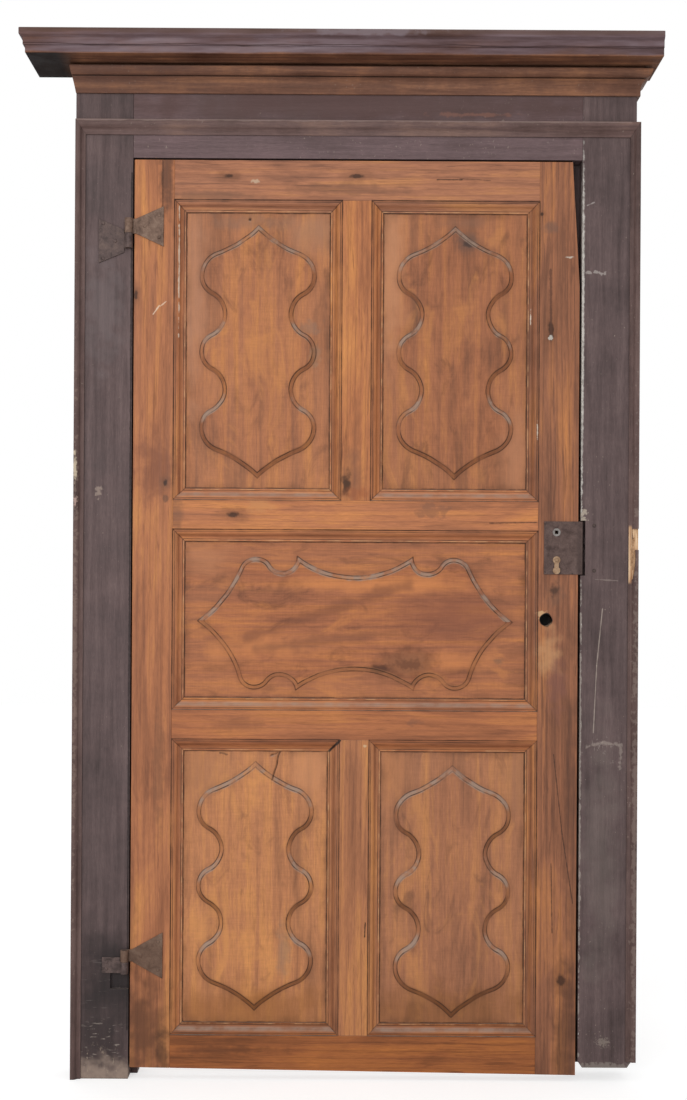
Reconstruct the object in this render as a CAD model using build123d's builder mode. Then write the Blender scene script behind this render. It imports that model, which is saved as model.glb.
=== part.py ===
from build123d import *
from math import cos, radians, sin
import os

# Panelled door in its wooden surround, in millimetres.
# X runs to the right, Y back to the wall and Z up, so the door's face looks along -Y.
# The origin is at floor level, midway across the doorway, on the wall plane behind the posts.

# Posts and head
doorway_width = 908.0
doorway_height = 1861.0
post_depth = 80.0
left_post_width = 116.0
right_post_width = 109.0
head_height = 185.0
stop_width = 14.0
head_tenon_thickness = 20.0
head_tenon_length = 60.0
head_tenon_shoulder = 25.0

# Right foot, rotted short and chipped
right_foot_rise = 28.0
foot_chip_width = 9.0
foot_chip_height = 13.0

# Bed of an older hinge, cut in the left post
old_bed_width = 37.0
old_bed_height = 32.0
old_bed_depth = 9.0

# Mouldings planted on the posts and head
band_width = 20.0
band_projection = 10.0
band_inner_projection = 3.0
band_inner_fillet_share = 0.16
band_outer_fillet_share = 0.28
band_right_overhang = 7.0
head_band_height = 30.0
head_band_rise = 46.0

# Break in the right post's moulding
break_drop = 14.0
break_length = 107.0
break_bed = 3.0
break_outline = [
    (0.66, 1.0),
    (0.60, 0.82),
    (0.86, 0.70),
    (0.92, 0.22),
    (0.80, 0.0),
    (0.56, 0.05),
    (0.40, 0.20),
    (0.28, 0.42),
    (0.32, 0.60),
]

# Cornice: bed moulding and crown
bed_height = 56.0
bed_fillet_height = 13.0
bed_fillet_projection = 6.0
bed_cavetto_height = 18.0
bed_cavetto_projection = 16.0
bed_groove_height = 2.5
bed_groove_projection = 12.0
bed_ovolo_start_projection = 18.0
bed_ovolo_height = 16.0
bed_projection = 28.0
bed_left_overhang = 12.0
crown_height = 47.0
crown_projection = 95.0
crown_fillet_height = 15.0
crown_fillet_inset = 11.0
crown_fascia_height = 14.0
crown_fascia_inset = 7.0
crown_bevel_height = 5.0
crown_left_overhang = 100.0
crown_right_overhang = 39.0

# Leaf: joinery
leaf_thickness = 42.0
leaf_proud = 1.0
stop_gap = 2.0
hinge_gap = 3.0
lock_gap = 5.0
top_gap = 4.0
floor_gap = 13.0
foot_slant = 11.0
stile_flat = 81.0
top_rail_flat = 80.0
cross_rail_flat = 60.0
lock_rail_flat = 60.0
bottom_rail_flat = 77.0
muntin_flat = 60.0
upper_sight_share = 0.392
middle_sight_share = 0.222
tenon_front = 16.0
tenon_thickness = 12.0
tenon_length = 36.0
tenon_shoulder = 20.0
muntin_tenon_length = 26.0
joint_clearance = 0.15

# Leaf: stuck moulding and panel groove
moulding_width = 24.0
moulding_step = 2.0
moulding_fillet = 3.5
lip_fillet = 5.0
lip_depth = 10.0
groove_front = 12.0
groove_width = 10.4
groove_depth = 10.0

# Leaf: planed corner and deep hole of the lock stile
corner_taper_width = 15.0
corner_taper_height = 250.0
stile_hole_radius = 12.0
stile_hole_depth = 36.0
stile_hole_drop = 92.0
stile_hole_backset = 64.0

# Panels and their raised cartouches
panel_clearance = 0.2
panel_tongue = 8.0
cartouche_slope_width = 10.0
cartouche_slope_height = 4.2
cartouche_quirk_width = 1.6
cartouche_field_rise = 1.2
cartouche_tip_margin = 27.0
tall_lobe_share = 0.811
tall_tip_rise_share = 0.45
tall_neck_depth_share = 0.307
tall_shoulder_share = 0.347
tall_shoulder_turn = 70.0
wide_drop = 3.0
wide_length_share = 0.925
wide_waist_share = 0.582
wide_cusp_shares = (0.339, 0.848)
wide_scoop_shares = (0.417, 0.639)
wide_scoop_end_shares = (0.504, 0.747)
wide_shoulder_shares = (0.6475, 0.762)

# Hinges: a dovetail plate on each side, with a lift-off knuckle on a standing pin
hinge_axis_offset = 10.6
knuckle_radius = 8.0
knuckle_gap = 0.2
pin_radius = 5.0
running_clearance = 0.05
plate_thickness = 3.0
neck_clearance = 1.5
leaf_plate_neck_length = 14.0
upper_hinge_drop = 150.0
upper_knuckle_height = 30.0
upper_leaf_plate_length = 70.0
upper_leaf_plate_height = 81.0
upper_post_plate_length = 61.0
upper_post_plate_height = 89.0
upper_post_plate_neck_height = 46.0
lower_hinge_height = 238.0
lower_knuckle_height = 24.0
lower_leaf_plate_length = 76.0
lower_leaf_plate_height = 93.0
lower_post_plate_length = 46.0
lower_post_plate_height = 32.0

# Nails of the hinges, keep and lock
nail_half_width = 1.6
nail_length = 22.0
nail_head_radius = 4.0
nail_head_sides = 8
nail_head_share = 0.4
nail_head_taper = 38.0
nail_clearance = 0.1
nail_inset = 9.0
lock_nail_half_width = 1.0
lock_nail_head_radius = 1.9
lock_nail_inset = 5.5
lock_nail_right_inset = 20.0

# Lock case
lock_rise = 20.0
lock_plate_width = 77.5
lock_plate_height = 107.0
lock_plate_thickness = 2.5
lock_overhang = 8.5
plate_lip = 4.0
case_wall = 2.0
case_depth = 20.0
cap_thickness = 1.5
pocket_clearance = 0.5
bolt_clearance = 0.3
bolt_inset = 5.0
rib_thickness = 3.0

# Lock follower and latch
spindle_backset = 52.3
spindle_drop = 22.0
spindle_square = 7.0
spindle_hole_radius = 7.0
spindle_hole_wall = 7.0
hub_radius = 8.0
hub_collar_radius = 9.5
hub_collar_height = 2.6
arm_length = 15.0
arm_width = 5.0
arm_thickness = 6.0
arm_swing = 40.0
arm_play = 2.2
latch_height = 13.4
latch_thickness = 11.0
latch_drop = 0.8
latch_tail_wall = 3.5
latch_slot_floor = 5.5
latch_bevel = 9.0
bolt_tip_inset = 1.0
spring_thickness = 1.0
spring_width = 9.0

# Dead bolt, keyhole and its drop cover
bolt_height = 24.0
bolt_thickness = 10.0
bolt_length = 66.0
back_spring_rise = 7.0
talon_width = 12.0
talon_height = 6.0
key_drop = 11.0
key_radius = 3.5
key_slot_width = 3.0
key_slot_length = 10.0
cover_rise = 13.0
cover_length = 21.0
cover_disc_radius = 7.5
cover_waist = 9.0
cover_thickness = 2.0
rivet_radius = 2.0
rivet_head_radius = 4.2
rivet_head_height = 1.4

# Keep on the right post
keep_gap = 6.0
keep_end_clearance = 2.0
keep_width = 36.0
keep_thickness = 2.5
keep_flange_depth = 22.0
keep_slot_margin = 2.0
keep_mortise_depth = 20.0
keep_nail_inset = 10.0

# One overrun for all cuts
overrun = 5.0

# Places that follow from the sizes above
half_doorway = doorway_width / 2
post_face = -post_depth
left_outer = -half_doorway - left_post_width
right_outer = half_doorway + right_post_width
head_top = doorway_height + head_height
leaf_front = post_face - leaf_proud
leaf_back = leaf_front + leaf_thickness
stop_front = leaf_back + stop_gap
leaf_left = -half_doorway + hinge_gap
leaf_right = half_doorway - lock_gap
leaf_middle = (leaf_left + leaf_right) / 2
leaf_bottom = floor_gap
leaf_top = doorway_height - top_gap
hinge_stile_flat_edge = leaf_left + stile_flat
lock_stile_flat_edge = leaf_right - stile_flat
panel_left = hinge_stile_flat_edge + moulding_width
panel_right = lock_stile_flat_edge - moulding_width
muntin_left_flat_edge = leaf_middle - muntin_flat / 2
muntin_right_flat_edge = leaf_middle + muntin_flat / 2
muntin_left = muntin_left_flat_edge - moulding_width
muntin_right = muntin_right_flat_edge + moulding_width

# Heights of the rails' flats, from the top rail down
top_rail_low = leaf_top - top_rail_flat
rail_flats = top_rail_flat + cross_rail_flat + lock_rail_flat + bottom_rail_flat
sight_heights = leaf_top - leaf_bottom - rail_flats - 6 * moulding_width
upper_panel_high = top_rail_low - moulding_width
upper_panel_low = upper_panel_high - upper_sight_share * sight_heights
cross_rail_high = upper_panel_low - moulding_width
cross_rail_low = cross_rail_high - cross_rail_flat
middle_panel_high = cross_rail_low - moulding_width
middle_panel_low = middle_panel_high - middle_sight_share * sight_heights
lock_rail_high = middle_panel_low - moulding_width
lock_rail_low = lock_rail_high - lock_rail_flat
lower_panel_high = lock_rail_low - moulding_width
bottom_rail_high = leaf_bottom + bottom_rail_flat
lower_panel_low = bottom_rail_high + moulding_width

# Hinge places
upper_hinge_height = leaf_top - upper_hinge_drop
axis_x = leaf_left - hinge_axis_offset
axis_y = leaf_front - knuckle_radius

# Lock places
lock_right = leaf_right + lock_overhang
lock_left = lock_right - lock_plate_width
lock_high = cross_rail_low + lock_rise
lock_low = lock_high - lock_plate_height
lock_front = leaf_front - lock_plate_thickness
case_left = lock_left + plate_lip
case_low = lock_low + plate_lip
case_high = lock_high - plate_lip
case_back = leaf_front + case_depth
cap_back = case_back + cap_thickness
spindle_x = lock_right - spindle_backset
spindle_z = lock_high - spindle_drop
latch_high = spindle_z - hub_collar_radius - latch_drop
latch_low = latch_high - latch_height
rib_high = latch_low - bolt_clearance
rib_low = rib_high - rib_thickness
bolt_high = rib_low - back_spring_rise
bolt_low = bolt_high - bolt_height
bolt_front = leaf_front + bolt_inset
bolt_tip = lock_right - bolt_tip_inset
arm_rest_x = spindle_x - arm_length * sin(radians(arm_swing / 2))
latch_slot_half = arm_width / 2 + arm_play
latch_tail = arm_rest_x - latch_slot_half - latch_tail_wall
bolt_tail = bolt_tip - bolt_length
key_x = spindle_x
key_z = bolt_low - key_drop
cover_pivot_z = key_z + cover_rise
cover_back = lock_front - bolt_clearance
cover_front = cover_back - cover_thickness
keep_left = lock_right + keep_gap
keep_right = keep_left + keep_width
notch_right = keep_left + keep_thickness
keep_low = lock_low - keep_end_clearance
keep_high = lock_high + keep_end_clearance

# Drawing helpers


def corners(left, low, right, high):
    # Four corners of an upright rectangle.
    return [(left, low), (right, low), (right, high), (left, high)]


def polygon(plane, outline):
    # Filled outline on a plane.
    with BuildSketch(plane) as sketch:
        with BuildLine():
            Polyline(*outline, close=True)
        make_face()
    return sketch.sketch


def front_prism(outline, front, back, mode=Mode.ADD):
    # Outline seen from the front, given depth from front to back.
    extrude(polygon(Plane.XZ.offset(-front), outline), amount=front - back, mode=mode)


def plan_prism(outline, low, high, mode=Mode.ADD):
    # Outline seen from above, raised from low to high.
    extrude(polygon(Plane.XY.offset(low), outline), amount=high - low, mode=mode)


def side_prism(outline, left, right, mode=Mode.ADD):
    # Outline of depth and height, run from left to right.
    extrude(polygon(Plane.YZ.offset(left), outline), amount=right - left, mode=mode)


def front_discs(spots, radius, front, back, mode=Mode.ADD):
    # Round bars or holes running from front to back.
    with BuildSketch(Plane.XZ.offset(-front)) as discs:
        with Locations(*spots):
            Circle(radius)
    extrude(discs.sketch, amount=front - back, mode=mode)


def front_squares(spots, half_width, front, back, mode=Mode.ADD):
    # Square bars or holes running from front to back.
    with BuildSketch(Plane.XZ.offset(-front)) as squares:
        with Locations(*spots):
            Rectangle(2 * half_width, 2 * half_width)
    extrude(squares.sketch, amount=front - back, mode=mode)


def nail_holes(spots, front, half_width=nail_half_width):
    # Holes in wood or iron for a row of nails.
    front_squares(spots, half_width + nail_clearance, front - overrun, front + nail_length, Mode.SUBTRACT)


def nails(spots, face, half_width=nail_half_width, head_radius=nail_head_radius):
    # Hand-made nails with square shanks and low faceted heads on a face.
    front_squares(spots, half_width, face, face + nail_length - overrun)
    with BuildSketch(Plane.XZ.offset(-face)) as heads:
        with Locations(*spots):
            RegularPolygon(head_radius, nail_head_sides)
    extrude(heads.sketch, amount=head_radius * nail_head_share, taper=nail_head_taper)


def finish(part, name):
    # Name a finished piece and write it out.
    part.part.label = name
    export_step(part.part, f"parts/{name}.step")


# Posts

head_tenon_front = (post_face + stop_front - head_tenon_thickness) / 2
head_tenon_back = head_tenon_front + head_tenon_thickness
head_tenon_low = doorway_height + head_tenon_shoulder
head_tenon_high = head_top - head_tenon_shoulder


def post_outline(outer, inner, inward):
    # Plan of a post, with the stop that the leaf shuts against.
    stop = inner + inward * stop_width
    return [
        (outer, 0),
        (outer, post_face),
        (inner, post_face),
        (inner, stop_front),
        (stop, stop_front),
        (stop, 0),
    ]


def cut_head_mortise(inner, inward):
    # Mortise for the head's tenon, let in from the post's inner side.
    mouth = inner + inward * (stop_width + overrun)
    end = inner - inward * (head_tenon_length + joint_clearance)
    outline = corners(
        min(mouth, end),
        head_tenon_front - joint_clearance,
        max(mouth, end),
        head_tenon_back + joint_clearance,
    )
    plan_prism(
        outline,
        head_tenon_low - joint_clearance,
        head_tenon_high + joint_clearance,
        Mode.SUBTRACT,
    )


lower_knuckle_low = lower_hinge_height - lower_knuckle_height
old_bed_high = lower_knuckle_low - knuckle_gap
upper_post_knuckle_low = upper_hinge_height - upper_knuckle_height
upper_post_plate_middle = upper_hinge_height - upper_knuckle_height / 2
post_plate_neck = axis_x - knuckle_radius - neck_clearance
upper_post_plate_end = axis_x - upper_post_plate_length
lower_post_plate_end = axis_x - lower_post_plate_length
lower_post_plate_high = lower_knuckle_low + lower_post_plate_height
upper_post_nails = [
    (upper_post_plate_end + nail_inset, upper_post_plate_middle + upper_post_plate_height / 2 - nail_inset),
    (upper_post_plate_end + nail_inset, upper_post_plate_middle - upper_post_plate_height / 2 + nail_inset),
    (post_plate_neck - 2 * nail_inset, upper_post_plate_middle),
]
lower_post_nails = [
    (lower_post_plate_end + nail_inset, lower_post_plate_high - nail_inset),
    (lower_post_plate_end + nail_inset, lower_knuckle_low + nail_inset),
]
post_nail_face = post_face - plate_thickness

with BuildPart() as left_post:
    plan_prism(post_outline(left_outer, -half_doorway, 1), 0, head_top)
    cut_head_mortise(-half_doorway, 1)
    old_bed_left = -half_doorway - old_bed_width
    old_bed = corners(old_bed_left, old_bed_high - old_bed_height, -half_doorway + overrun, old_bed_high)
    front_prism(old_bed, post_face - overrun, post_face + old_bed_depth, Mode.SUBTRACT)
    nail_holes(upper_post_nails + lower_post_nails, post_nail_face)
finish(left_post, "left_post")

latch_keep_low = latch_low - keep_slot_margin
latch_keep_high = latch_high + keep_slot_margin
bolt_keep_low = bolt_low - keep_slot_margin
bolt_keep_high = bolt_high + keep_slot_margin
keep_back = post_face + keep_thickness
keep_mortise_back = bolt_front + latch_thickness + keep_slot_margin
keep_nail_x = keep_left + keep_width / 2
keep_nails_at = [(keep_nail_x, keep_low + keep_nail_inset), (keep_nail_x, keep_high - keep_nail_inset)]

with BuildPart() as right_post:
    plan_prism(post_outline(right_outer, half_doorway, -1), right_foot_rise, head_top)
    cut_head_mortise(half_doorway, -1)
    for arris, inward in ((half_doorway, 1), (right_outer, -1)):
        chip = [
            (arris, right_foot_rise),
            (arris + inward * foot_chip_width, right_foot_rise),
            (arris, right_foot_rise + foot_chip_height),
        ]
        front_prism(chip, post_face, stop_front, Mode.SUBTRACT)
    notch = corners(half_doorway - overrun, keep_low, notch_right, keep_high)
    front_prism(notch, post_face - overrun, post_face + keep_flange_depth, Mode.SUBTRACT)
    keep_bed = corners(keep_left, keep_low, keep_right, keep_high)
    front_prism(keep_bed, post_face - overrun, keep_back, Mode.SUBTRACT)
    mortise = corners(keep_left, bolt_keep_low, notch_right + keep_mortise_depth, latch_keep_high)
    front_prism(mortise, post_face - overrun, keep_mortise_back, Mode.SUBTRACT)
    nail_holes(keep_nails_at, post_face)
finish(right_post, "right_post")

# Head, with the frieze as its upper part

with BuildPart() as head:
    head_outline = [
        (post_face, doorway_height),
        (stop_front, doorway_height),
        (stop_front, doorway_height - stop_width),
        (0, doorway_height - stop_width),
        (0, head_top),
        (post_face, head_top),
    ]
    side_prism(head_outline, -half_doorway, half_doorway)
    for side in (-1, 1):
        stop_end = corners(
            min(side * half_doorway, side * (half_doorway - stop_width)),
            stop_front,
            max(side * half_doorway, side * (half_doorway - stop_width)),
            0,
        )
        plan_prism(stop_end, doorway_height - stop_width, head_top, Mode.SUBTRACT)
        tenon = corners(
            min(side * half_doorway, side * (half_doorway + head_tenon_length)),
            head_tenon_front,
            max(side * half_doorway, side * (half_doorway + head_tenon_length)),
            head_tenon_back,
        )
        plan_prism(tenon, head_tenon_low, head_tenon_high)
finish(head, "head")

# Mouldings planted on the posts and head

band_low = doorway_height + head_band_rise
band_high = band_low + head_band_height
left_band_inner = left_outer + band_width
right_band_outer = right_outer + band_right_overhang
right_band_inner = right_band_outer - band_width


def band_section(plane, width):
    # Low inner fillet, ogee and proud outer fillet, drawn from the inner edge outwards.
    ogee_start = (width * band_inner_fillet_share, band_inner_projection)
    ogee_end = (width - width * band_outer_fillet_share, band_projection)
    ogee_middle = ((ogee_start[0] + ogee_end[0]) / 2, (ogee_start[1] + ogee_end[1]) / 2)
    with BuildSketch(plane) as section:
        with BuildLine():
            Polyline((0, 0), (0, band_inner_projection), ogee_start)
            TangentArc(ogee_start, ogee_middle, tangent=(1, 0))
            TangentArc(ogee_end, ogee_middle, tangent=(-1, 0))
            Polyline(ogee_end, (width, band_projection), (width, 0), (0, 0))
        make_face()
    return section.sketch


with BuildPart() as left_post_moulding:
    foot = Plane(origin=(left_band_inner, post_face, 0), x_dir=(-1, 0, 0), z_dir=(0, 0, 1))
    extrude(band_section(foot, band_width), amount=band_high)
    mitre = [
        (left_band_inner, band_low),
        (left_outer, band_high),
        (left_outer, band_high + overrun),
        (left_band_inner + overrun, band_high + overrun),
        (left_band_inner + overrun, band_low),
    ]
    front_prism(mitre, post_face - band_projection, post_face, Mode.SUBTRACT)
finish(left_post_moulding, "left_post_moulding")

with BuildPart() as right_post_moulding:
    top = Plane(origin=(right_band_inner, post_face, band_high), x_dir=(1, 0, 0), z_dir=(0, 0, -1))
    extrude(band_section(top, band_width), amount=band_high - right_foot_rise - foot_chip_height)
    mitre = [
        (right_band_inner, band_low),
        (right_band_outer, band_high),
        (right_band_outer, band_high + overrun),
        (right_band_inner - overrun, band_high + overrun),
        (right_band_inner - overrun, band_low),
    ]
    front_prism(mitre, post_face - band_projection, post_face, Mode.SUBTRACT)
    break_low = lock_low - break_drop
    splinter = [(right_band_outer + overrun, break_low + break_length)]
    for depth_share, length_share in break_outline:
        splinter_x = right_band_outer - depth_share * band_width
        splinter.append((splinter_x, break_low + length_share * break_length))
    splinter.append((right_band_outer + overrun, splinter[-1][1]))
    front_prism(splinter, post_face - band_projection - overrun, post_face - break_bed, Mode.SUBTRACT)
finish(right_post_moulding, "right_post_moulding")

with BuildPart() as head_moulding:
    end = Plane(origin=(left_outer, post_face, band_low), x_dir=(0, 0, 1), z_dir=(1, 0, 0))
    extrude(band_section(end, head_band_height), amount=right_band_outer - left_outer)
    for inner, outer, side in ((left_band_inner, left_outer, -1), (right_band_inner, right_band_outer, 1)):
        mitre = [
            (inner, band_low),
            (outer, band_high),
            (outer + side * overrun, band_high),
            (outer + side * overrun, band_low - overrun),
            (inner, band_low - overrun),
        ]
        front_prism(mitre, post_face - band_projection, post_face, Mode.SUBTRACT)
finish(head_moulding, "head_moulding")

# Bed moulding and its right return

bed_low = head_top - bed_height
bed_cavetto_top = bed_fillet_height + bed_cavetto_height
bed_ovolo_low = bed_cavetto_top + bed_groove_height
bed_ovolo_top = bed_ovolo_low + bed_ovolo_height
bed_corner = (right_outer, post_face)
bed_front = post_face - bed_projection


def bed_section(plane):
    # Fillet, cavetto, groove, ovolo and quirk, drawn as projection and height.
    cavetto_start = (bed_fillet_projection, bed_fillet_height)
    cavetto_end = (bed_cavetto_projection, bed_cavetto_top)
    ovolo_start = (bed_ovolo_start_projection, bed_ovolo_low)
    ovolo_end = (bed_projection, bed_ovolo_top)
    with BuildSketch(plane) as section:
        with BuildLine():
            Polyline((0, bed_height), (0, 0), (bed_fillet_projection, 0), cavetto_start)
            TangentArc(cavetto_start, cavetto_end, tangent=(0, 1))
            Polyline(
                cavetto_end,
                (bed_groove_projection, bed_cavetto_top),
                (bed_groove_projection, bed_ovolo_low),
                ovolo_start,
            )
            TangentArc(ovolo_end, ovolo_start, tangent=(0, -1))
            Polyline(
                ovolo_end,
                (bed_groove_projection, bed_ovolo_top),
                (bed_groove_projection, bed_height),
                (0, bed_height),
            )
        make_face()
    return section.sketch


with BuildPart() as bed_moulding:
    bed_left = left_outer - bed_left_overhang
    bed_right = right_outer + bed_projection
    right_end = Plane(origin=(bed_right, post_face, bed_low), x_dir=(0, -1, 0), z_dir=(-1, 0, 0))
    extrude(bed_section(right_end), amount=bed_right - bed_left)
    bed_mitre = [
        bed_corner,
        (right_outer + bed_projection + overrun, bed_front - overrun),
        (right_outer + bed_projection + overrun, post_face),
    ]
    plan_prism(bed_mitre, bed_low, head_top, Mode.SUBTRACT)
    left_saw_cut = [
        (bed_left, head_top),
        (left_outer, bed_low),
        (bed_left - overrun, bed_low),
        (bed_left - overrun, head_top),
    ]
    front_prism(left_saw_cut, bed_front - overrun, post_face, Mode.SUBTRACT)
finish(bed_moulding, "bed_moulding")

with BuildPart() as bed_right_return:
    wall_end = Plane(origin=(right_outer, 0, bed_low), x_dir=(1, 0, 0), z_dir=(0, -1, 0))
    extrude(bed_section(wall_end), amount=post_depth + bed_projection)
    bed_mitre = [
        bed_corner,
        (right_outer, bed_front - overrun),
        (right_outer + bed_projection + overrun, bed_front - overrun),
    ]
    plan_prism(bed_mitre, bed_low, head_top, Mode.SUBTRACT)
finish(bed_right_return, "bed_right_return")

# Crown and its left return, lying on the posts and head

crown_left = left_outer - crown_left_overhang
crown_right = right_outer + crown_right_overhang
crown_front = post_face - crown_projection
crown_top = head_top + crown_height
crown_mitre_back = crown_front + crown_left_overhang


def crown_section(plane, back):
    # Lower fillet, fascia, bevel and top fillet, drawn as projection and height.
    fillet = crown_projection - crown_fillet_inset
    fascia = crown_projection - crown_fascia_inset
    fascia_high = crown_fillet_height + crown_fascia_height
    return polygon(
        plane,
        [
            (back, 0),
            (fillet, 0),
            (fillet, crown_fillet_height),
            (fascia, crown_fillet_height),
            (fascia, fascia_high),
            (crown_projection, fascia_high + crown_bevel_height),
            (crown_projection, crown_height),
            (back, crown_height),
        ],
    )


with BuildPart() as crown:
    right_end = Plane(origin=(crown_right, post_face, head_top), x_dir=(0, -1, 0), z_dir=(-1, 0, 0))
    extrude(crown_section(right_end, -post_depth), amount=crown_right - crown_left)
    return_place = [
        (crown_left, crown_front),
        (left_outer, crown_mitre_back),
        (left_outer, overrun),
        (crown_left - overrun, overrun),
        (crown_left - overrun, crown_front),
    ]
    plan_prism(return_place, head_top, crown_top, Mode.SUBTRACT)
finish(crown, "crown")

with BuildPart() as crown_left_return:
    front_end = Plane(
        origin=(crown_left + crown_projection, crown_front, head_top), x_dir=(-1, 0, 0), z_dir=(0, 1, 0)
    )
    extrude(crown_section(front_end, crown_projection - crown_left_overhang), amount=-crown_front)
    crown_mitre = [
        (crown_left, crown_front),
        (left_outer, crown_mitre_back),
        (left_outer + overrun, crown_mitre_back),
        (left_outer + overrun, crown_front - overrun),
        (crown_left, crown_front - overrun),
    ]
    plan_prism(crown_mitre, head_top, crown_top, Mode.SUBTRACT)
finish(crown_left_return, "crown_left_return")

# Leaf: one section serves every stile, rail and muntin


def draw_stuck_edge(flat_edge, inward):
    # Step, ogee, lip, panel groove and square back of one moulded edge, across and back.
    def spot(across, depth):
        return (flat_edge + inward * across, depth)

    sight_edge = moulding_width
    ogee_start = spot(moulding_fillet, moulding_step)
    ogee_end = spot(sight_edge - lip_fillet, lip_depth)
    ogee_middle = ((ogee_start[0] + ogee_end[0]) / 2, (ogee_start[1] + ogee_end[1]) / 2)
    Polyline(spot(0, 0), spot(0, moulding_step), ogee_start)
    TangentArc(ogee_start, ogee_middle, tangent=(inward, 0))
    TangentArc(ogee_end, ogee_middle, tangent=(-inward, 0))
    Polyline(
        ogee_end,
        spot(sight_edge, lip_depth),
        spot(sight_edge, groove_front),
        spot(sight_edge - groove_depth, groove_front),
        spot(sight_edge - groove_depth, groove_front + groove_width),
        spot(sight_edge, groove_front + groove_width),
        spot(sight_edge, leaf_thickness),
    )
    return spot(sight_edge, leaf_thickness)


def draw_plain_edge(flat_edge):
    # Square outer edge of a member.
    Line((flat_edge, 0), (flat_edge, leaf_thickness))
    return (flat_edge, leaf_thickness)


def member_section(plane, flat_width, low_moulded, high_moulded):
    # Section of a leaf member between its flat edges, across and back from the face.
    with BuildSketch(plane) as section:
        with BuildLine():
            low_back = draw_stuck_edge(0, -1) if low_moulded else draw_plain_edge(0)
            high_back = draw_stuck_edge(flat_width, 1) if high_moulded else draw_plain_edge(flat_width)
            Line((0, 0), (flat_width, 0))
            Line(low_back, high_back)
        make_face()
    return section.sketch


def entry(flat_edge, inward, low, high, low_moulded=True, high_moulded=True):
    # Trapezium cut from a moulding where another member's front shoulder lies over it.
    splay = moulding_width + overrun
    far = flat_edge + inward * splay
    return [
        (flat_edge, low),
        (flat_edge, high),
        (far, high + splay * high_moulded),
        (far, low - splay * low_moulded),
    ]


def mitre_off(flat_edge, inward, shoulder, along):
    # Corner taken off a moulding's front shoulder, at 45 degrees.
    far = moulding_width + overrun
    return [
        (flat_edge - inward * overrun, shoulder - along * overrun),
        (flat_edge + inward * far, shoulder + along * far),
        (flat_edge - inward * overrun, shoulder + along * far),
    ]


def swapped(outline):
    # The same outline with width and height exchanged.
    return [(high, across) for across, high in outline]


def cut_slanted_foot():
    # Saw the leaf's foot on a slant, higher at the hinges, to clear an uneven floor.
    foot = [
        (leaf_left, leaf_bottom + foot_slant),
        (leaf_right, leaf_bottom),
        (leaf_right, leaf_bottom - overrun),
        (leaf_left, leaf_bottom - overrun),
    ]
    front_prism(foot, leaf_front - overrun, leaf_back + overrun, Mode.SUBTRACT)


def cut_front_layer(outline):
    # Cut through the moulded front layer only, down to the panel groove.
    front_prism(outline, leaf_front - overrun, leaf_front + groove_front, Mode.SUBTRACT)


def cut_back_layer(outline):
    # Cut the layers behind the moulding.
    front_prism(outline, leaf_front + groove_front, leaf_back + overrun, Mode.SUBTRACT)


def tenon_bar(outline):
    # Tenon in the middle of the thickness.
    front_prism(outline, leaf_front + tenon_front, leaf_front + tenon_front + tenon_thickness)


def cut_mortise(left, low, right, high):
    # Mortise for a tenon, a little larger all round.
    gap = joint_clearance
    front_prism(
        corners(left - gap, low - gap, right + gap, high + gap),
        leaf_front + tenon_front - gap,
        leaf_front + tenon_front + tenon_thickness + gap,
        Mode.SUBTRACT,
    )


# Each rail as flat low, flat high, moulded below, moulded above, tenon low, tenon high
top_rail_place = (top_rail_low, leaf_top, True, False, top_rail_low, leaf_top - tenon_shoulder)
cross_rail_place = (cross_rail_low, cross_rail_high, True, True, cross_rail_low, cross_rail_high)
lock_rail_place = (lock_rail_low, lock_rail_high, True, True, lock_rail_low, lock_rail_high)
bottom_tenon_low = leaf_bottom + tenon_shoulder
bottom_rail_place = (leaf_bottom, bottom_rail_high, False, True, bottom_tenon_low, bottom_rail_high)
rail_places = [top_rail_place, cross_rail_place, lock_rail_place, bottom_rail_place]


def stile_joints(flat_edge, inward):
    # Front entries and mortises for the rails in one stile.
    sight_edge = flat_edge + inward * moulding_width
    mortise_end = sight_edge - inward * tenon_length
    for low, high, moulded_below, moulded_above, tenon_low, tenon_high in rail_places:
        entry_low = low if moulded_below else low - overrun
        entry_high = high if moulded_above else high + overrun
        cut_front_layer(entry(flat_edge, inward, entry_low, entry_high, moulded_below, moulded_above))
        cut_mortise(
            min(sight_edge, mortise_end), tenon_low, max(sight_edge, mortise_end), tenon_high
        )


def rail_body(place):
    # Rail with long front shoulders, mitred mouldings, short back shoulders and two tenons.
    low, high, moulded_below, moulded_above, tenon_low, tenon_high = place
    end = Plane(origin=(lock_stile_flat_edge, leaf_front, low), x_dir=(0, 0, 1), z_dir=(-1, 0, 0))
    extrude(
        member_section(end, high - low, moulded_below, moulded_above),
        amount=lock_stile_flat_edge - hinge_stile_flat_edge,
    )
    below = low - moulding_width - overrun
    above = high + moulding_width + overrun
    for flat_edge, inward in ((hinge_stile_flat_edge, 1), (lock_stile_flat_edge, -1)):
        if moulded_below:
            cut_front_layer(mitre_off(flat_edge, inward, low, -1))
        if moulded_above:
            cut_front_layer(mitre_off(flat_edge, inward, high, 1))
        sight_edge = flat_edge + inward * moulding_width
        outside = flat_edge - inward * overrun
        cut_back_layer(corners(min(outside, sight_edge), below, max(outside, sight_edge), above))
        tenon_end = sight_edge - inward * tenon_length
        tenon_bar(corners(min(sight_edge, tenon_end), tenon_low, max(sight_edge, tenon_end), tenon_high))


def muntin_joint(flat_edge, upward):
    # Front entry and mortise for a muntin in a rail's moulded edge.
    cut_front_layer(swapped(entry(flat_edge, upward, muntin_left_flat_edge, muntin_right_flat_edge)))
    sight_edge = flat_edge + upward * moulding_width
    mortise_end = sight_edge - upward * muntin_tenon_length
    cut_mortise(
        muntin_left_flat_edge,
        min(sight_edge, mortise_end),
        muntin_right_flat_edge,
        max(sight_edge, mortise_end),
    )


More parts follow.
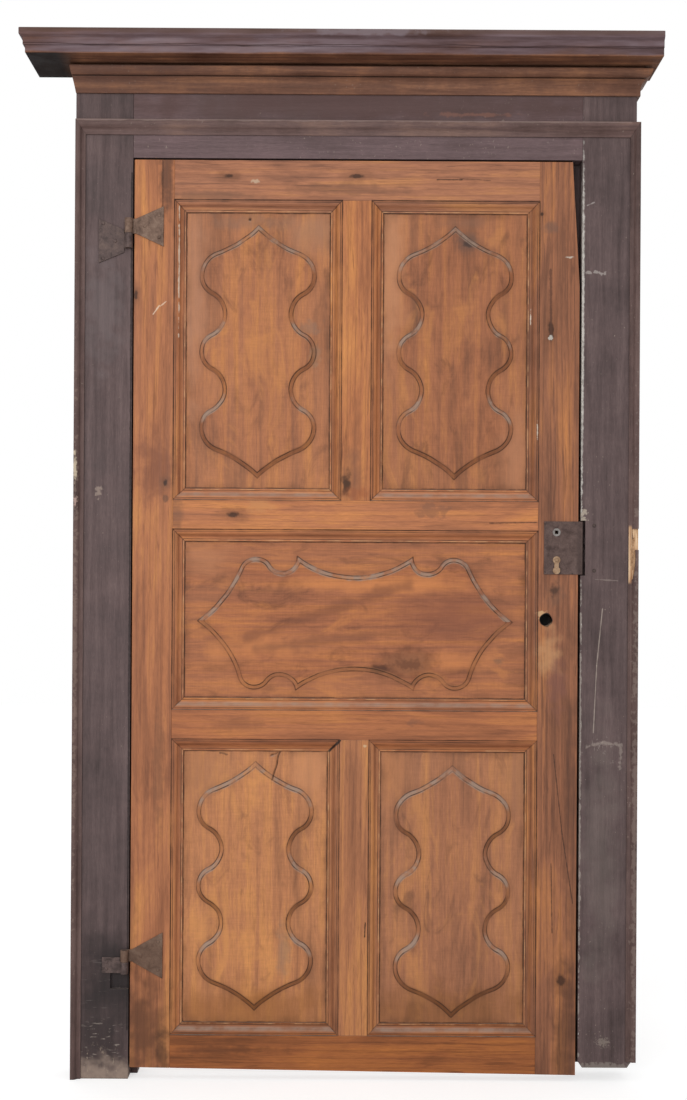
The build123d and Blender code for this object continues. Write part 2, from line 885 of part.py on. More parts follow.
def muntin_body(low_flat_edge, high_flat_edge):
    # Muntin between two rails, moulded on both sides and mitred at both ends.
    end = Plane(origin=(muntin_left_flat_edge, leaf_front, low_flat_edge))
    extrude(member_section(end, muntin_flat, True, True), amount=high_flat_edge - low_flat_edge)
    left = muntin_left - overrun
    right = muntin_right + overrun
    for flat_edge, upward in ((low_flat_edge, 1), (high_flat_edge, -1)):
        cut_front_layer(swapped(mitre_off(flat_edge, upward, muntin_left_flat_edge, -1)))
        cut_front_layer(swapped(mitre_off(flat_edge, upward, muntin_right_flat_edge, 1)))
        sight_edge = flat_edge + upward * moulding_width
        outside = flat_edge - upward * overrun
        cut_back_layer(corners(left, min(outside, sight_edge), right, max(outside, sight_edge)))
        tenon_end = sight_edge - upward * muntin_tenon_length
        tenon_bar(
            corners(
                muntin_left_flat_edge,
                min(sight_edge, tenon_end),
                muntin_right_flat_edge,
                max(sight_edge, tenon_end),
            )
        )


# Leaf hinge plates' places, which the hinge stile's nail holes follow

leaf_plate_neck = axis_x + leaf_plate_neck_length


def leaf_nail_spots(length, height, joint_height, knuckle_height):
    # Two nails at the wide end of a leaf plate and one near its neck.
    end = axis_x + length
    middle = joint_height + knuckle_height / 2
    return [
        (end - nail_inset, middle + height / 2 - 2 * nail_inset),
        (end - nail_inset, middle - height / 2 + 2 * nail_inset),
        (leaf_plate_neck + 2 * nail_inset, middle),
    ]


upper_leaf_plate = (
    upper_leaf_plate_length,
    upper_leaf_plate_height,
    upper_hinge_height,
    upper_knuckle_height,
)
lower_leaf_plate = (
    lower_leaf_plate_length,
    lower_leaf_plate_height,
    lower_hinge_height,
    lower_knuckle_height,
)
upper_leaf_nails = leaf_nail_spots(*upper_leaf_plate)
lower_leaf_nails = leaf_nail_spots(*lower_leaf_plate)
leaf_nail_face = leaf_front - plate_thickness

# Stiles

with BuildPart() as hinge_stile:
    stile_foot = Plane(origin=(leaf_left, leaf_front, leaf_bottom))
    extrude(member_section(stile_foot, stile_flat, False, True), amount=leaf_top - leaf_bottom)
    stile_joints(hinge_stile_flat_edge, 1)
    nail_holes(upper_leaf_nails + lower_leaf_nails, leaf_nail_face)
    cut_slanted_foot()
finish(hinge_stile, "hinge_stile")

lock_nails_at = [
    (lock_left + plate_lip / 2, lock_low + lock_nail_inset),
    (lock_left + plate_lip / 2, lock_high - lock_nail_inset),
    (lock_right - lock_nail_right_inset, lock_low + plate_lip / 2),
    (lock_right - lock_nail_right_inset, lock_high - plate_lip / 2),
]

with BuildPart() as lock_stile:
    stile_foot = Plane(origin=(lock_stile_flat_edge, leaf_front, leaf_bottom))
    extrude(member_section(stile_foot, stile_flat, True, False), amount=leaf_top - leaf_bottom)
    stile_joints(lock_stile_flat_edge, -1)
    planed_corner = [
        (leaf_right, leaf_top - corner_taper_height),
        (leaf_right + overrun, leaf_top - corner_taper_height),
        (leaf_right + overrun, leaf_top + overrun),
        (leaf_right - corner_taper_width, leaf_top + overrun),
        (leaf_right - corner_taper_width, leaf_top),
    ]
    front_prism(planed_corner, leaf_front - overrun, leaf_back + overrun, Mode.SUBTRACT)
    stile_hole = [(leaf_right - stile_hole_backset, lock_low - stile_hole_drop)]
    front_discs(stile_hole, stile_hole_radius, leaf_front, leaf_front + stile_hole_depth, Mode.SUBTRACT)
    pocket = corners(
        case_left - pocket_clearance,
        case_low - pocket_clearance,
        leaf_right + overrun,
        case_high + pocket_clearance,
    )
    front_prism(pocket, leaf_front - overrun, cap_back + pocket_clearance, Mode.SUBTRACT)
    nail_holes(lock_nails_at, lock_front, lock_nail_half_width)
    cut_slanted_foot()
    spindle_hole_end = leaf_back - spindle_hole_wall
    front_discs([(spindle_x, spindle_z)], spindle_hole_radius, leaf_front, spindle_hole_end, Mode.SUBTRACT)
finish(lock_stile, "lock_stile")

# Rails

with BuildPart() as top_rail:
    rail_body(top_rail_place)
    muntin_joint(top_rail_low, -1)
finish(top_rail, "top_rail")

with BuildPart() as cross_rail:
    rail_body(cross_rail_place)
    muntin_joint(cross_rail_high, 1)
finish(cross_rail, "cross_rail")

with BuildPart() as lock_rail:
    rail_body(lock_rail_place)
    muntin_joint(lock_rail_low, -1)
finish(lock_rail, "lock_rail")

with BuildPart() as bottom_rail:
    rail_body(bottom_rail_place)
    muntin_joint(bottom_rail_high, 1)
    cut_slanted_foot()
finish(bottom_rail, "bottom_rail")

# Muntins

with BuildPart() as upper_muntin:
    muntin_body(cross_rail_high, top_rail_low)
finish(upper_muntin, "upper_muntin")

with BuildPart() as lower_muntin:
    muntin_body(bottom_rail_high, lock_rail_low)
finish(lower_muntin, "lower_muntin")

# Panels, each a thin board with a raised cartouche

panel_front = leaf_front + groove_front + panel_clearance
panel_back = leaf_front + groove_front + groove_width - panel_clearance


def tall_cartouche(plane, half_width, half_height):
    # Three lobes a side, two necks and an ogee to a point at each end.
    lobe = tall_lobe_share * half_width
    turn = radians(tall_shoulder_turn)
    pitch = (half_height - tall_tip_rise_share * lobe) / (1 + tall_shoulder_share * sin(turn))
    neck = lobe - tall_neck_depth_share * pitch
    between = (lobe + neck) / 2
    shoulder_radius = tall_shoulder_share * pitch
    shoulder = (lobe - shoulder_radius * (1 - cos(turn)), pitch + shoulder_radius * sin(turn))
    with BuildSketch(plane) as outline:
        with BuildLine():
            TangentArc((lobe, 0), (between, pitch / 4), tangent=(0, 1))
            TangentArc((neck, pitch / 2), (between, pitch / 4), tangent=(0, -1))
            TangentArc((neck, pitch / 2), (between, pitch * 3 / 4), tangent=(0, 1))
            TangentArc((lobe, pitch), (between, pitch * 3 / 4), tangent=(0, -1))
            TangentArc((lobe, pitch), shoulder, tangent=(0, 1))
            TangentArc(shoulder, (0, half_height), tangent=(-sin(turn), cos(turn)))
            mirror(about=Plane.YZ)
            mirror(about=Plane.XZ)
        make_face()
    return outline.sketch


def wide_cartouche(plane, half_width, half_height):
    # Hollow waist, a cusp, a scoop and a round shoulder each way, and an ogee to each end.
    def spot(shares):
        return (shares[0] * half_width, shares[1] * half_height)

    waist = (0, wide_waist_share * half_height)
    cusp = spot(wide_cusp_shares)
    scoop_end = spot(wide_scoop_end_shares)
    shoulder = spot(wide_shoulder_shares)
    tip = (wide_length_share * half_width, 0)
    with BuildSketch(plane) as outline:
        with BuildLine():
            TangentArc(waist, cusp, tangent=(1, 0))
            scoop = ThreePointArc(cusp, spot(wide_scoop_shares), scoop_end)
            round_top = TangentArc(scoop_end, shoulder, tangent=scoop % 1)
            TangentArc(shoulder, tip, tangent=round_top % 1)
            mirror(about=Plane.YZ)
            mirror(about=Plane.XZ)
        make_face()
    return outline.sketch


def raised_field(outline):
    # Sloped edge, a small quirk and the flat field inside it.
    slope = Vector(cartouche_slope_width, cartouche_slope_height).get_angle(Vector(0, 1))
    extrude(outline, amount=cartouche_slope_height, taper=slope)
    inset = cartouche_slope_width + cartouche_quirk_width
    field = offset(outline, amount=-inset, kind=Kind.INTERSECTION, mode=Mode.PRIVATE)
    extrude(field, amount=cartouche_slope_height + cartouche_field_rise)


def panel_board(left, low, right, high):
    # Plain board with its edges in the grooves.
    board = corners(left - panel_tongue, low - panel_tongue, right + panel_tongue, high + panel_tongue)
    front_prism(board, panel_front, panel_back)


def panel_face(left, low, right, high, drop=0):
    # Plane on a panel's front, centred on its sight or a little lower.
    centre = ((left + right) / 2, panel_front, (low + high) / 2 - drop)
    return Plane(origin=centre, x_dir=(1, 0, 0), z_dir=(0, -1, 0))


def tall_panel(left, low, right, high):
    # Upright panel with a tall cartouche.
    panel_board(left, low, right, high)
    half_width = (right - left) / 2
    half_height = (high - low) / 2 - cartouche_tip_margin
    raised_field(tall_cartouche(panel_face(left, low, right, high), half_width, half_height))


with BuildPart() as upper_left_panel:
    tall_panel(panel_left, upper_panel_low, muntin_left, upper_panel_high)
finish(upper_left_panel, "upper_left_panel")

with BuildPart() as upper_right_panel:
    tall_panel(muntin_right, upper_panel_low, panel_right, upper_panel_high)
finish(upper_right_panel, "upper_right_panel")

with BuildPart() as middle_panel:
    panel_board(panel_left, middle_panel_low, panel_right, middle_panel_high)
    middle_face = panel_face(panel_left, middle_panel_low, panel_right, middle_panel_high, wide_drop)
    middle_half_height = (middle_panel_high - middle_panel_low) / 2
    raised_field(wide_cartouche(middle_face, (panel_right - panel_left) / 2, middle_half_height))
finish(middle_panel, "middle_panel")

with BuildPart() as lower_left_panel:
    tall_panel(panel_left, lower_panel_low, muntin_left, lower_panel_high)
finish(lower_left_panel, "lower_left_panel")

with BuildPart() as lower_right_panel:
    tall_panel(muntin_right, lower_panel_low, panel_right, lower_panel_high)
finish(lower_right_panel, "lower_right_panel")

# Hinges


def knuckle(low, high):
    # Rolled eye round the hinge axis.
    with BuildSketch(Plane.XY.offset(low)) as eye:
        with Locations((axis_x, axis_y)):
            Circle(knuckle_radius)
    extrude(eye.sketch, amount=high - low)
    with BuildSketch(Plane.XY.offset(low)) as bore:
        with Locations((axis_x, axis_y)):
            Circle(pin_radius + running_clearance)
    extrude(bore.sketch, amount=high - low, mode=Mode.SUBTRACT)


def leaf_plate(length, height, joint_height, knuckle_height, spots):
    # Dovetail plate nailed on the hinge stile, with its knuckle above the joint.
    low = joint_height + knuckle_gap
    high = joint_height + knuckle_height
    middle = joint_height + knuckle_height / 2
    end = axis_x + length
    outline = [
        (axis_x, low),
        (leaf_plate_neck, low),
        (end, middle - height / 2),
        (end, middle + height / 2),
        (leaf_plate_neck, high),
        (axis_x, high),
    ]
    front_prism(outline, leaf_front - plate_thickness, leaf_front)
    nail_holes(spots, leaf_nail_face)
    knuckle(low, high)


def hinge_pin(joint_height, knuckle_height):
    # Pin standing in the post's knuckle and reaching up through the leaf's.
    with BuildSketch(Plane.XY.offset(joint_height - knuckle_height)) as section:
        with Locations((axis_x, axis_y)):
            Circle(pin_radius)
    extrude(section.sketch, amount=2 * knuckle_height)


with BuildPart() as upper_hinge_leaf_plate:
    leaf_plate(*upper_leaf_plate, upper_leaf_nails)
finish(upper_hinge_leaf_plate, "upper_hinge_leaf_plate")

with BuildPart() as lower_hinge_leaf_plate:
    leaf_plate(*lower_leaf_plate, lower_leaf_nails)
finish(lower_hinge_leaf_plate, "lower_hinge_leaf_plate")

with BuildPart() as upper_hinge_post_plate:
    upper_plate = [
        (axis_x, upper_post_knuckle_low),
        (post_plate_neck, upper_post_knuckle_low),
        (post_plate_neck, upper_post_plate_middle - upper_post_plate_neck_height / 2),
        (upper_post_plate_end, upper_post_plate_middle - upper_post_plate_height / 2),
        (upper_post_plate_end, upper_post_plate_middle + upper_post_plate_height / 2),
        (post_plate_neck, upper_post_plate_middle + upper_post_plate_neck_height / 2),
        (post_plate_neck, upper_hinge_height),
        (axis_x, upper_hinge_height),
    ]
    front_prism(upper_plate, post_nail_face, post_face)
    nail_holes(upper_post_nails, post_nail_face)
    knuckle(upper_post_knuckle_low, upper_hinge_height)
finish(upper_hinge_post_plate, "upper_hinge_post_plate")

with BuildPart() as lower_hinge_post_plate:
    lower_plate = [
        (axis_x, lower_knuckle_low),
        (lower_post_plate_end, lower_knuckle_low),
        (lower_post_plate_end, lower_post_plate_high),
        (post_plate_neck, lower_post_plate_high),
        (post_plate_neck, lower_hinge_height),
        (axis_x, lower_hinge_height),
    ]
    front_prism(lower_plate, post_nail_face, post_face)
    nail_holes(lower_post_nails, post_nail_face)
    knuckle(lower_knuckle_low, lower_hinge_height)
finish(lower_hinge_post_plate, "lower_hinge_post_plate")

with BuildPart() as upper_hinge_pin:
    hinge_pin(upper_hinge_height, upper_knuckle_height)
finish(upper_hinge_pin, "upper_hinge_pin")

with BuildPart() as lower_hinge_pin:
    hinge_pin(lower_hinge_height, lower_knuckle_height)
finish(lower_hinge_pin, "lower_hinge_pin")

with BuildPart() as leaf_hinge_nails:
    nails(upper_leaf_nails + lower_leaf_nails, leaf_nail_face)
finish(leaf_hinge_nails, "leaf_hinge_nails")

with BuildPart() as post_hinge_nails:
    nails(upper_post_nails + lower_post_nails, post_nail_face)
finish(post_hinge_nails, "post_hinge_nails")

# Keep: a plate let into the post's face, bent back along the notch

with BuildPart() as keep_plate:
    front_prism(corners(keep_left, keep_low, keep_right, keep_high), post_face, keep_back)
    flange = corners(keep_left, keep_low, notch_right, keep_high)
    front_prism(flange, post_face, post_face + keep_flange_depth)
    for slot_low, slot_high in ((bolt_keep_low, bolt_keep_high), (latch_keep_low, latch_keep_high)):
        slot = corners(keep_left - overrun, slot_low, notch_right, slot_high)
        front_prism(slot, keep_back, keep_mortise_back, Mode.SUBTRACT)
    nail_holes(keep_nails_at, post_face)
finish(keep_plate, "keep_plate")

with BuildPart() as keep_nails:
    nails(keep_nails_at, post_face)
finish(keep_nails, "keep_nails")

# Lock case: front plate, rim, ribs that guide the bolts, and the cap behind

rib_left = case_left + case_wall
rib_right = lock_right - case_wall
case_inside = corners(rib_left, case_low + case_wall, rib_right, case_high - case_wall)
ledge_left = key_x + talon_width
ledge_high = bolt_low - bolt_clearance

with BuildPart() as lock_case:
    front_prism(corners(lock_left, lock_low, lock_right, lock_high), lock_front, leaf_front)
    front_prism(corners(case_left, case_low, lock_right, case_high), leaf_front, case_back)
    front_prism(case_inside, leaf_front, case_back + overrun, Mode.SUBTRACT)
    front_prism(corners(rib_left, rib_low, rib_right, rib_high), leaf_front, case_back)
    front_prism(corners(ledge_left, ledge_high - rib_thickness, rib_right, ledge_high), leaf_front, case_back)
    selvage_outside = lock_right + overrun
    slot_inside = rib_right - case_wall
    latch_slot_low = latch_low - bolt_clearance
    latch_slot = corners(slot_inside, latch_slot_low, selvage_outside, latch_high + bolt_clearance)
    bolt_slot_front = bolt_front - bolt_clearance
    front_prism(latch_slot, bolt_slot_front, bolt_front + latch_thickness + bolt_clearance, Mode.SUBTRACT)
    bolt_slot = corners(slot_inside, bolt_low - bolt_clearance, selvage_outside, bolt_high + bolt_clearance)
    front_prism(bolt_slot, bolt_slot_front, bolt_front + bolt_thickness + bolt_clearance, Mode.SUBTRACT)
    hub_hole = hub_radius + running_clearance
    front_discs([(spindle_x, spindle_z)], hub_hole, lock_front - overrun, leaf_front, Mode.SUBTRACT)
    front_discs([(key_x, key_z)], key_radius, lock_front - overrun, leaf_front, Mode.SUBTRACT)
    key_slot = corners(
        key_x - key_slot_width / 2, key_z - key_slot_length, key_x + key_slot_width / 2, key_z
    )
    front_prism(key_slot, lock_front - overrun, leaf_front, Mode.SUBTRACT)
    rivet_hole = rivet_radius + running_clearance
    front_discs([(key_x, cover_pivot_z)], rivet_hole, lock_front - overrun, leaf_front, Mode.SUBTRACT)
    nail_holes(lock_nails_at, lock_front, lock_nail_half_width)
finish(lock_case, "lock_case")

with BuildPart() as lock_cap:
    front_prism(corners(case_left, case_low, lock_right, case_high), case_back, cap_back)
    front_discs([(spindle_x, spindle_z)], hub_hole, case_back, cap_back, Mode.SUBTRACT)
finish(lock_cap, "lock_cap")

with BuildPart() as lock_nails:
    nails(lock_nails_at, lock_front, lock_nail_half_width, lock_nail_head_radius)
finish(lock_nails, "lock_nails")

# Follower: a hub with a square hole and an arm that draws the latch

arm_front = leaf_front + bolt_clearance + hub_collar_height
arm_angle = 90 - arm_swing / 2

with BuildPart() as follower:
    front_discs([(spindle_x, spindle_z)], hub_radius, lock_front, cap_back)
    front_discs([(spindle_x, spindle_z)], hub_collar_radius, leaf_front + bolt_clearance, arm_front)
    with BuildSketch(Plane.XZ.offset(-arm_front)) as arm:
        with Locations(Location((spindle_x, spindle_z), 180 + arm_angle)):
            Rectangle(arm_length, arm_width, align=(Align.MIN, Align.CENTER))
    extrude(amount=-arm_thickness)
    with BuildSketch(Plane.XZ.offset(-lock_front + overrun)) as square:
        with Locations((spindle_x, spindle_z)):
            Rectangle(spindle_square, spindle_square)
    extrude(amount=lock_front - cap_back - 2 * overrun, mode=Mode.SUBTRACT)
finish(follower, "follower")

with BuildPart() as latch_bolt:
    latch_bar = corners(latch_tail, latch_low, bolt_tip, latch_high)
    front_prism(latch_bar, bolt_front, bolt_front + latch_thickness)
    arm_slot = corners(
        arm_rest_x - latch_slot_half, latch_low + latch_slot_floor, arm_rest_x + latch_slot_half, latch_high
    )
    front_prism(arm_slot, bolt_front, bolt_front + latch_thickness, Mode.SUBTRACT)
    bevel = [
        (bolt_tip, bolt_front + latch_thickness - latch_bevel),
        (bolt_tip, bolt_front + latch_thickness),
        (bolt_tip - latch_bevel, bolt_front + latch_thickness),
    ]
    plan_prism(bevel, latch_low, latch_high, Mode.SUBTRACT)
finish(latch_bolt, "latch_bolt")

# Latch spring: a bent strip between the case's rim and the latch's tail

spring_wall = rib_left + spring_thickness / 2
spring_bend = rib_high + rib_thickness
spring_tip = latch_tail - bolt_clearance - spring_thickness / 2

with BuildPart() as latch_spring:
    with BuildSketch(Plane.XZ.offset(-bolt_front)) as strip:
        with BuildLine():
            Polyline((spring_wall, latch_high), (spring_wall, spring_bend), (spring_tip, latch_high))
        trace(line_width=spring_thickness)
    extrude(amount=-spring_width)
finish(latch_spring, "latch_spring")

# Dead bolt, with its back spring bowed under the rib

with BuildPart() as dead_bolt:
    bolt_bar = corners(bolt_tail, bolt_low, bolt_tip, bolt_high)
    front_prism(bolt_bar, bolt_front, bolt_front + bolt_thickness)
    talon = corners(key_x - talon_width / 2, bolt_low, key_x + talon_width / 2, bolt_low + talon_height)
    front_prism(talon, bolt_front, bolt_front + bolt_thickness, Mode.SUBTRACT)
finish(dead_bolt, "dead_bolt")

spring_low = bolt_high + spring_thickness / 2
spring_high = rib_low - bolt_clearance - spring_thickness / 2
spring_start = bolt_tail + spring_width
spring_end = bolt_tip - 2 * spring_width
spring_middle = (spring_start + spring_end) / 2

with BuildPart() as bolt_back_spring:
    with BuildSketch(Plane.XZ.offset(-bolt_front)) as strip:
        with BuildLine():
            ThreePointArc((spring_start, spring_low), (spring_middle, spring_high), (spring_end, spring_low))
        trace(line_width=spring_thickness)
    extrude(amount=-spring_width)
    front_prism(bolt_bar, bolt_front, bolt_front + bolt_thickness, Mode.SUBTRACT)
finish(bolt_back_spring, "bolt_back_spring")

# Keyhole drop cover, hanging on its rivet

with BuildPart() as keyhole_cover:
    discs = [(key_x, cover_pivot_z), (key_x, cover_pivot_z - cover_length)]
    front_discs(discs, cover_disc_radius, cover_front, cover_back)
    waist = corners(
        key_x - cover_waist / 2, cover_pivot_z - cover_length, key_x + cover_waist / 2, cover_pivot_z
    )
    front_prism(waist, cover_front, cover_back)
    front_discs([(key_x, cover_pivot_z)], rivet_hole, cover_front, cover_back, Mode.SUBTRACT)
finish(keyhole_cover, "keyhole_cover")

with BuildPart() as cover_rivet:
    rivet_head_back = cover_front - bolt_clearance
    front_discs([(key_x, cover_pivot_z)], rivet_radius, rivet_head_back, leaf_front)
    with BuildSketch(Plane.XZ.offset(-rivet_head_back)) as rivet_head:
        with Locations((key_x, cover_pivot_z)):
            Circle(rivet_head_radius)
    extrude(amount=rivet_head_height, taper=nail_head_taper)
finish(cover_rivet, "cover_rivet")
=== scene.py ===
import math
from types import SimpleNamespace

import bpy
import numpy as np
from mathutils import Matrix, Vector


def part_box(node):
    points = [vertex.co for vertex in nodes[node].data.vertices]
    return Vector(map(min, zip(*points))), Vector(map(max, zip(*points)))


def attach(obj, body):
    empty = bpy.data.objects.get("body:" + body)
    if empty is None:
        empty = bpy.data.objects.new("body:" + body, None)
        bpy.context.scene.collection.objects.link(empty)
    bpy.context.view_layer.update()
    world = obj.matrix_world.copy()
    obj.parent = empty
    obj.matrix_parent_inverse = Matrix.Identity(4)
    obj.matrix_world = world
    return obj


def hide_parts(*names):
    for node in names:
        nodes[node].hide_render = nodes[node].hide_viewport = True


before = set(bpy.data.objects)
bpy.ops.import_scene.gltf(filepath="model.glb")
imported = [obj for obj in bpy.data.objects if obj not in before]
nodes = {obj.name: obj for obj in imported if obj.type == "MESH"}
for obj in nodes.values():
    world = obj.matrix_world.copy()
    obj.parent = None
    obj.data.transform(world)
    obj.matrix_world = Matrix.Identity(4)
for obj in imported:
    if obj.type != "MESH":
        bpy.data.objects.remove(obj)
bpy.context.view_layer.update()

# Posts: two planed softwood uprights with a rebate for the leaf, tenoned to the head.
# Their thin purple-brown paint is old, streaky and dusty, and worn through to pale wood in
# places; white plaster still clings to the right post's inner arris.


def srgb(red, green, blue):
    """A colour as it is seen, in the linear values that shaders take."""
    channels = []
    for value in (red, green, blue):
        share = value / 255
        channels.append(share / 12.92 if share <= 0.04045 else ((share + 0.055) / 1.055) ** 2.4)
    return (*channels, 1.0)


def put(socket, value):
    """A link or a plain value into one socket."""
    if isinstance(value, bpy.types.NodeSocket):
        socket.id_data.links.new(value, socket)
    else:
        socket.default_value = value


def add(tree, kind, sockets=None, family="ShaderNode", **settings):
    """One node with its settings and inputs."""
    made = tree.nodes.new(family + kind)
    for name, value in settings.items():
        setattr(made, name, value)
    for name, value in (sockets or {}).items():
        put(made.inputs[name], value)
    return made


def home(*values):
    """The node tree of the first linked value among some."""
    return next(value.id_data for value in values if isinstance(value, bpy.types.NodeSocket))


def over(share, under, top, mode="MIX"):
    """One colour laid over another."""
    layers = {0: share, 6: under, 7: top}
    return add(home(share, under, top), "Mix", layers, data_type="RGBA", blend_type=mode).outputs[2]


def between(value, low, high, to_low=0.0, to_high=1.0):
    """A value eased from one range into another."""
    ends = {"Value": value, "From Min": low, "From Max": high, "To Min": to_low, "To Max": to_high}
    return add(value.id_data, "MapRange", ends, interpolation_type="SMOOTHSTEP").outputs[0]


def reckon(operation, first, second=0.0):
    """One sum on two values."""
    return add(home(first, second), "Math", {0: first, 1: second}, operation=operation).outputs[0]


def times(first, second):
    """Two values multiplied."""
    return reckon("MULTIPLY", first, second)


def most(first, second):
    """The larger of two values."""
    return reckon("MAXIMUM", first, second)


def vector(operation, first, second=(0.0, 0.0, 0.0)):
    """One sum on two vectors."""
    made = add(home(first, second), "VectorMath", {0: first, 1: second}, operation=operation)
    return made.outputs["Value" if operation in ("LENGTH", "DOT_PRODUCT", "DISTANCE") else "Vector"]


def parts(value):
    """A vector's parts: across, deep and up."""
    return add(value.id_data, "SeparateXYZ", {"Vector": value}).outputs


def cloud(place, scale, stretch=(1, 1, 1), shift=0.0, detail=4.0, rough=0.55, twist=0.0):
    """Soft noise, drawn out along the grain by its stretch."""
    start = tuple(shift * step for step in (1.7, 2.3, 3.1))
    moved = add(place.id_data, "Mapping", {"Vector": place, "Location": start, "Scale": stretch}).outputs[0]
    settings = {"Vector": moved, "Scale": scale, "Detail": detail, "Roughness": rough, "Distortion": twist}
    return add(place.id_data, "TexNoise", settings).outputs[0]


face_depth = -60.0


def fronted(place, back=face_depth):
    """One on the parts before a depth in millimetres, and nought behind it."""
    return between(parts(place)[1], back / 1000, back / 1000 - 0.002)


def tint(finish, share, colour):
    """A colour laid over a finish."""
    finish.colour = over(share, finish.colour, srgb(*colour))


def vary(finish, factor):
    """A finish made darker and lighter by a factor."""
    finish.colour = over(1.0, finish.colour, factor, "MULTIPLY")


def lay(finish, reach, colour, strength, ragged, soft, grain, shift, back=face_depth):
    """A colour laid on the front where a reach is under one, with a ragged edge."""
    edge = reckon("SUBTRACT", cloud(finish.place, grain, shift=shift, detail=2.5), 0.5)
    reach = reckon("ADD", reach, times(edge, ragged * 3.0))
    mask = between(reach, 1.0 + soft, 1.0 - soft, 0.0, strength)
    tint(finish, times(mask, fronted(finish.place, back)), colour)


def oval(finish, centre, half):
    """How far out a place lies in an oval, with one on its edge."""
    away = vector("SUBTRACT", finish.place, (centre[0] / 1000, 0.0, centre[1] / 1000))
    return vector("LENGTH", vector("MULTIPLY", away, (1000 / half[0], 0.0, 1000 / half[1])))


def mark(finish, centre, half, colour, strength=0.8, ragged=0.5, soft=0.35, grain=60.0, back=face_depth):
    """A ragged oval stain or chip, by its middle and half sizes across and up, in millimetres."""
    reach = oval(finish, centre, half)
    lay(finish, reach, colour, strength, ragged, soft, grain, sum(centre) / 1000, back)


def scratch(finish, start, end, width, colour, strength=0.8, ragged=0.5, soft=0.5, grain=150.0):
    """A scratch or a crack from one point to another across and up, in millimetres."""
    run = ((end[0] - start[0]) / 1000, 0.0, (end[1] - start[1]) / 1000)
    length = run[0] ** 2 + run[2] ** 2
    away = vector("SUBTRACT", finish.place, (start[0] / 1000, 0.0, start[1] / 1000))
    away = vector("MULTIPLY", away, (1.0, 0.0, 1.0))
    along = vector("DOT_PRODUCT", away, tuple(value / length for value in run))
    along = add(finish.tree, "Clamp", {"Value": along}).outputs[0]
    foot = add(finish.tree, "VectorMath", {0: run, "Scale": along}, operation="SCALE").outputs[0]
    reach = reckon("DIVIDE", vector("DISTANCE", away, foot), width / 1000)
    lay(finish, reach, colour, strength, ragged, soft, grain, sum(start) / 1000)


def specks(finish, centre, half, colour, strength, stretch):
    """Fine pale scuffs, each drawn out by a stretch, over an oval patch in millimetres."""
    patch = between(oval(finish, centre, half), 1.2, 0.4, 0.0, strength)
    bits = between(cloud(finish.place, 230.0, stretch, sum(centre) / 1000, 3.0), 0.60, 0.68)
    tint(finish, times(times(patch, bits), fronted(finish.place)), colour)


def wear(finish, *traces):
    """Marks, scratches and the like on one finish, one after another."""
    for trace, *details in traces:
        trace(finish, *details)


def begin_finish(name):
    """A new material with a plain shader and its object coordinates."""
    material = bpy.data.materials.new(name)
    material.use_nodes = True
    tree = material.node_tree
    tree.nodes.clear()
    coordinates = add(tree, "TexCoord")
    shader = add(tree, "BsdfPrincipled", {"Specular IOR Level": 0.2})
    add(tree, "OutputMaterial", {"Surface": shader.outputs[0]})
    place, normal = coordinates.outputs["Object"], coordinates.outputs["Normal"]
    return SimpleNamespace(material=material, tree=tree, shader=shader.inputs, place=place, normal=normal)


def settle(finish, dirt_and_shade, dust_and_top_light, dirt_and_shade_share=0.6, dust_and_top_light_share=0.5):
    """Dirt with painted shade in the crevices, from ambient occlusion, and dust with painted top light on
    what faces up; the colour goes to the shader.
    """
    # Painted shade: ambient occlusion darkens the crevices, together with the dirt that lies in them.
    crevice = add(finish.tree, "AmbientOcclusion", {"Distance": 0.008}, samples=4)
    crevice_dirt_and_shade = between(crevice.outputs["AO"], 0.75, 0.15, 0.0, dirt_and_shade_share)
    tint(finish, crevice_dirt_and_shade, dirt_and_shade)
    # Dust on what faces up, which also stands in for light falling from above: painted top light.
    up_facing_dust_and_light = between(parts(finish.normal)[2], 0.2, 0.8, 0.0, dust_and_top_light_share)
    broken = between(cloud(finish.place, 45.0), 0.3, 0.7, 0.45, 1.0)
    tint(finish, times(up_facing_dust_and_light, broken), dust_and_top_light)
    put(finish.shader["Base Color"], finish.colour)


def tone_scale(value, tones, low=0.32, high=0.68):
    """Three tones, from dark to light, picked by a value."""
    scale = add(value.id_data, "ValToRGB", {"Fac": value})
    stops = scale.color_ramp.elements
    stops[0].position, stops[0].color = low, srgb(*tones[0])
    stops[1].position, stops[1].color = high, srgb(*tones[2])
    stops.new((low + high) / 2).color = srgb(*tones[1])
    return scale.outputs[0]


def roughen(finish, fine, coarse, deep=0.0012):
    """Fine fibres and coarser streaks felt in the surface."""
    felt = {}
    for height, distance in ((fine, 0.0005), (coarse, deep)):
        bump = add(finish.tree, "Bump", {"Height": height, "Strength": 0.3, "Distance": distance, **felt})
        felt = {"Normal": bump.outputs[0]}
    put(finish.shader["Normal"], felt["Normal"])


def old_paint(name, along, tones, shift, rubs=0.5):
    """Thin brushed paint: streaks along the grain, mottle and rubbed specks."""
    finish = begin_finish(name)
    place = finish.place
    drawn = tuple(0.05 if axis == along else 1.0 for axis in "XYZ")
    streak = cloud(place, 80.0, drawn, shift, 6.0, 0.65, 0.3)
    mottle = cloud(place, 9.0, (1, 1, 1), shift, 8.0, 0.65)
    brush = cloud(place, 520.0, tuple(max(0.12, size) for size in drawn), shift, 3.0, 0.7)
    mixed = reckon("ADD", times(streak, 0.5), times(mottle, 0.5))
    finish.colour = tone_scale(mixed, tones)
    vary(finish, between(brush, 0.2, 0.8, 0.84, 1.16))
    dots = between(cloud(place, 260.0, (1, 1, 0.6), shift, 3.0), 0.65, 0.74)
    rubbed = between(cloud(place, 7.0, (1, 1, 1), shift + 3.0), 0.38, 0.66, 0.1 * rubs, rubs)
    tint(finish, times(dots, rubbed), (172, 156, 142))
    put(finish.shader["Roughness"], between(mottle, 0.3, 0.7, 0.52, 0.75))
    roughen(finish, brush, streak)
    return finish


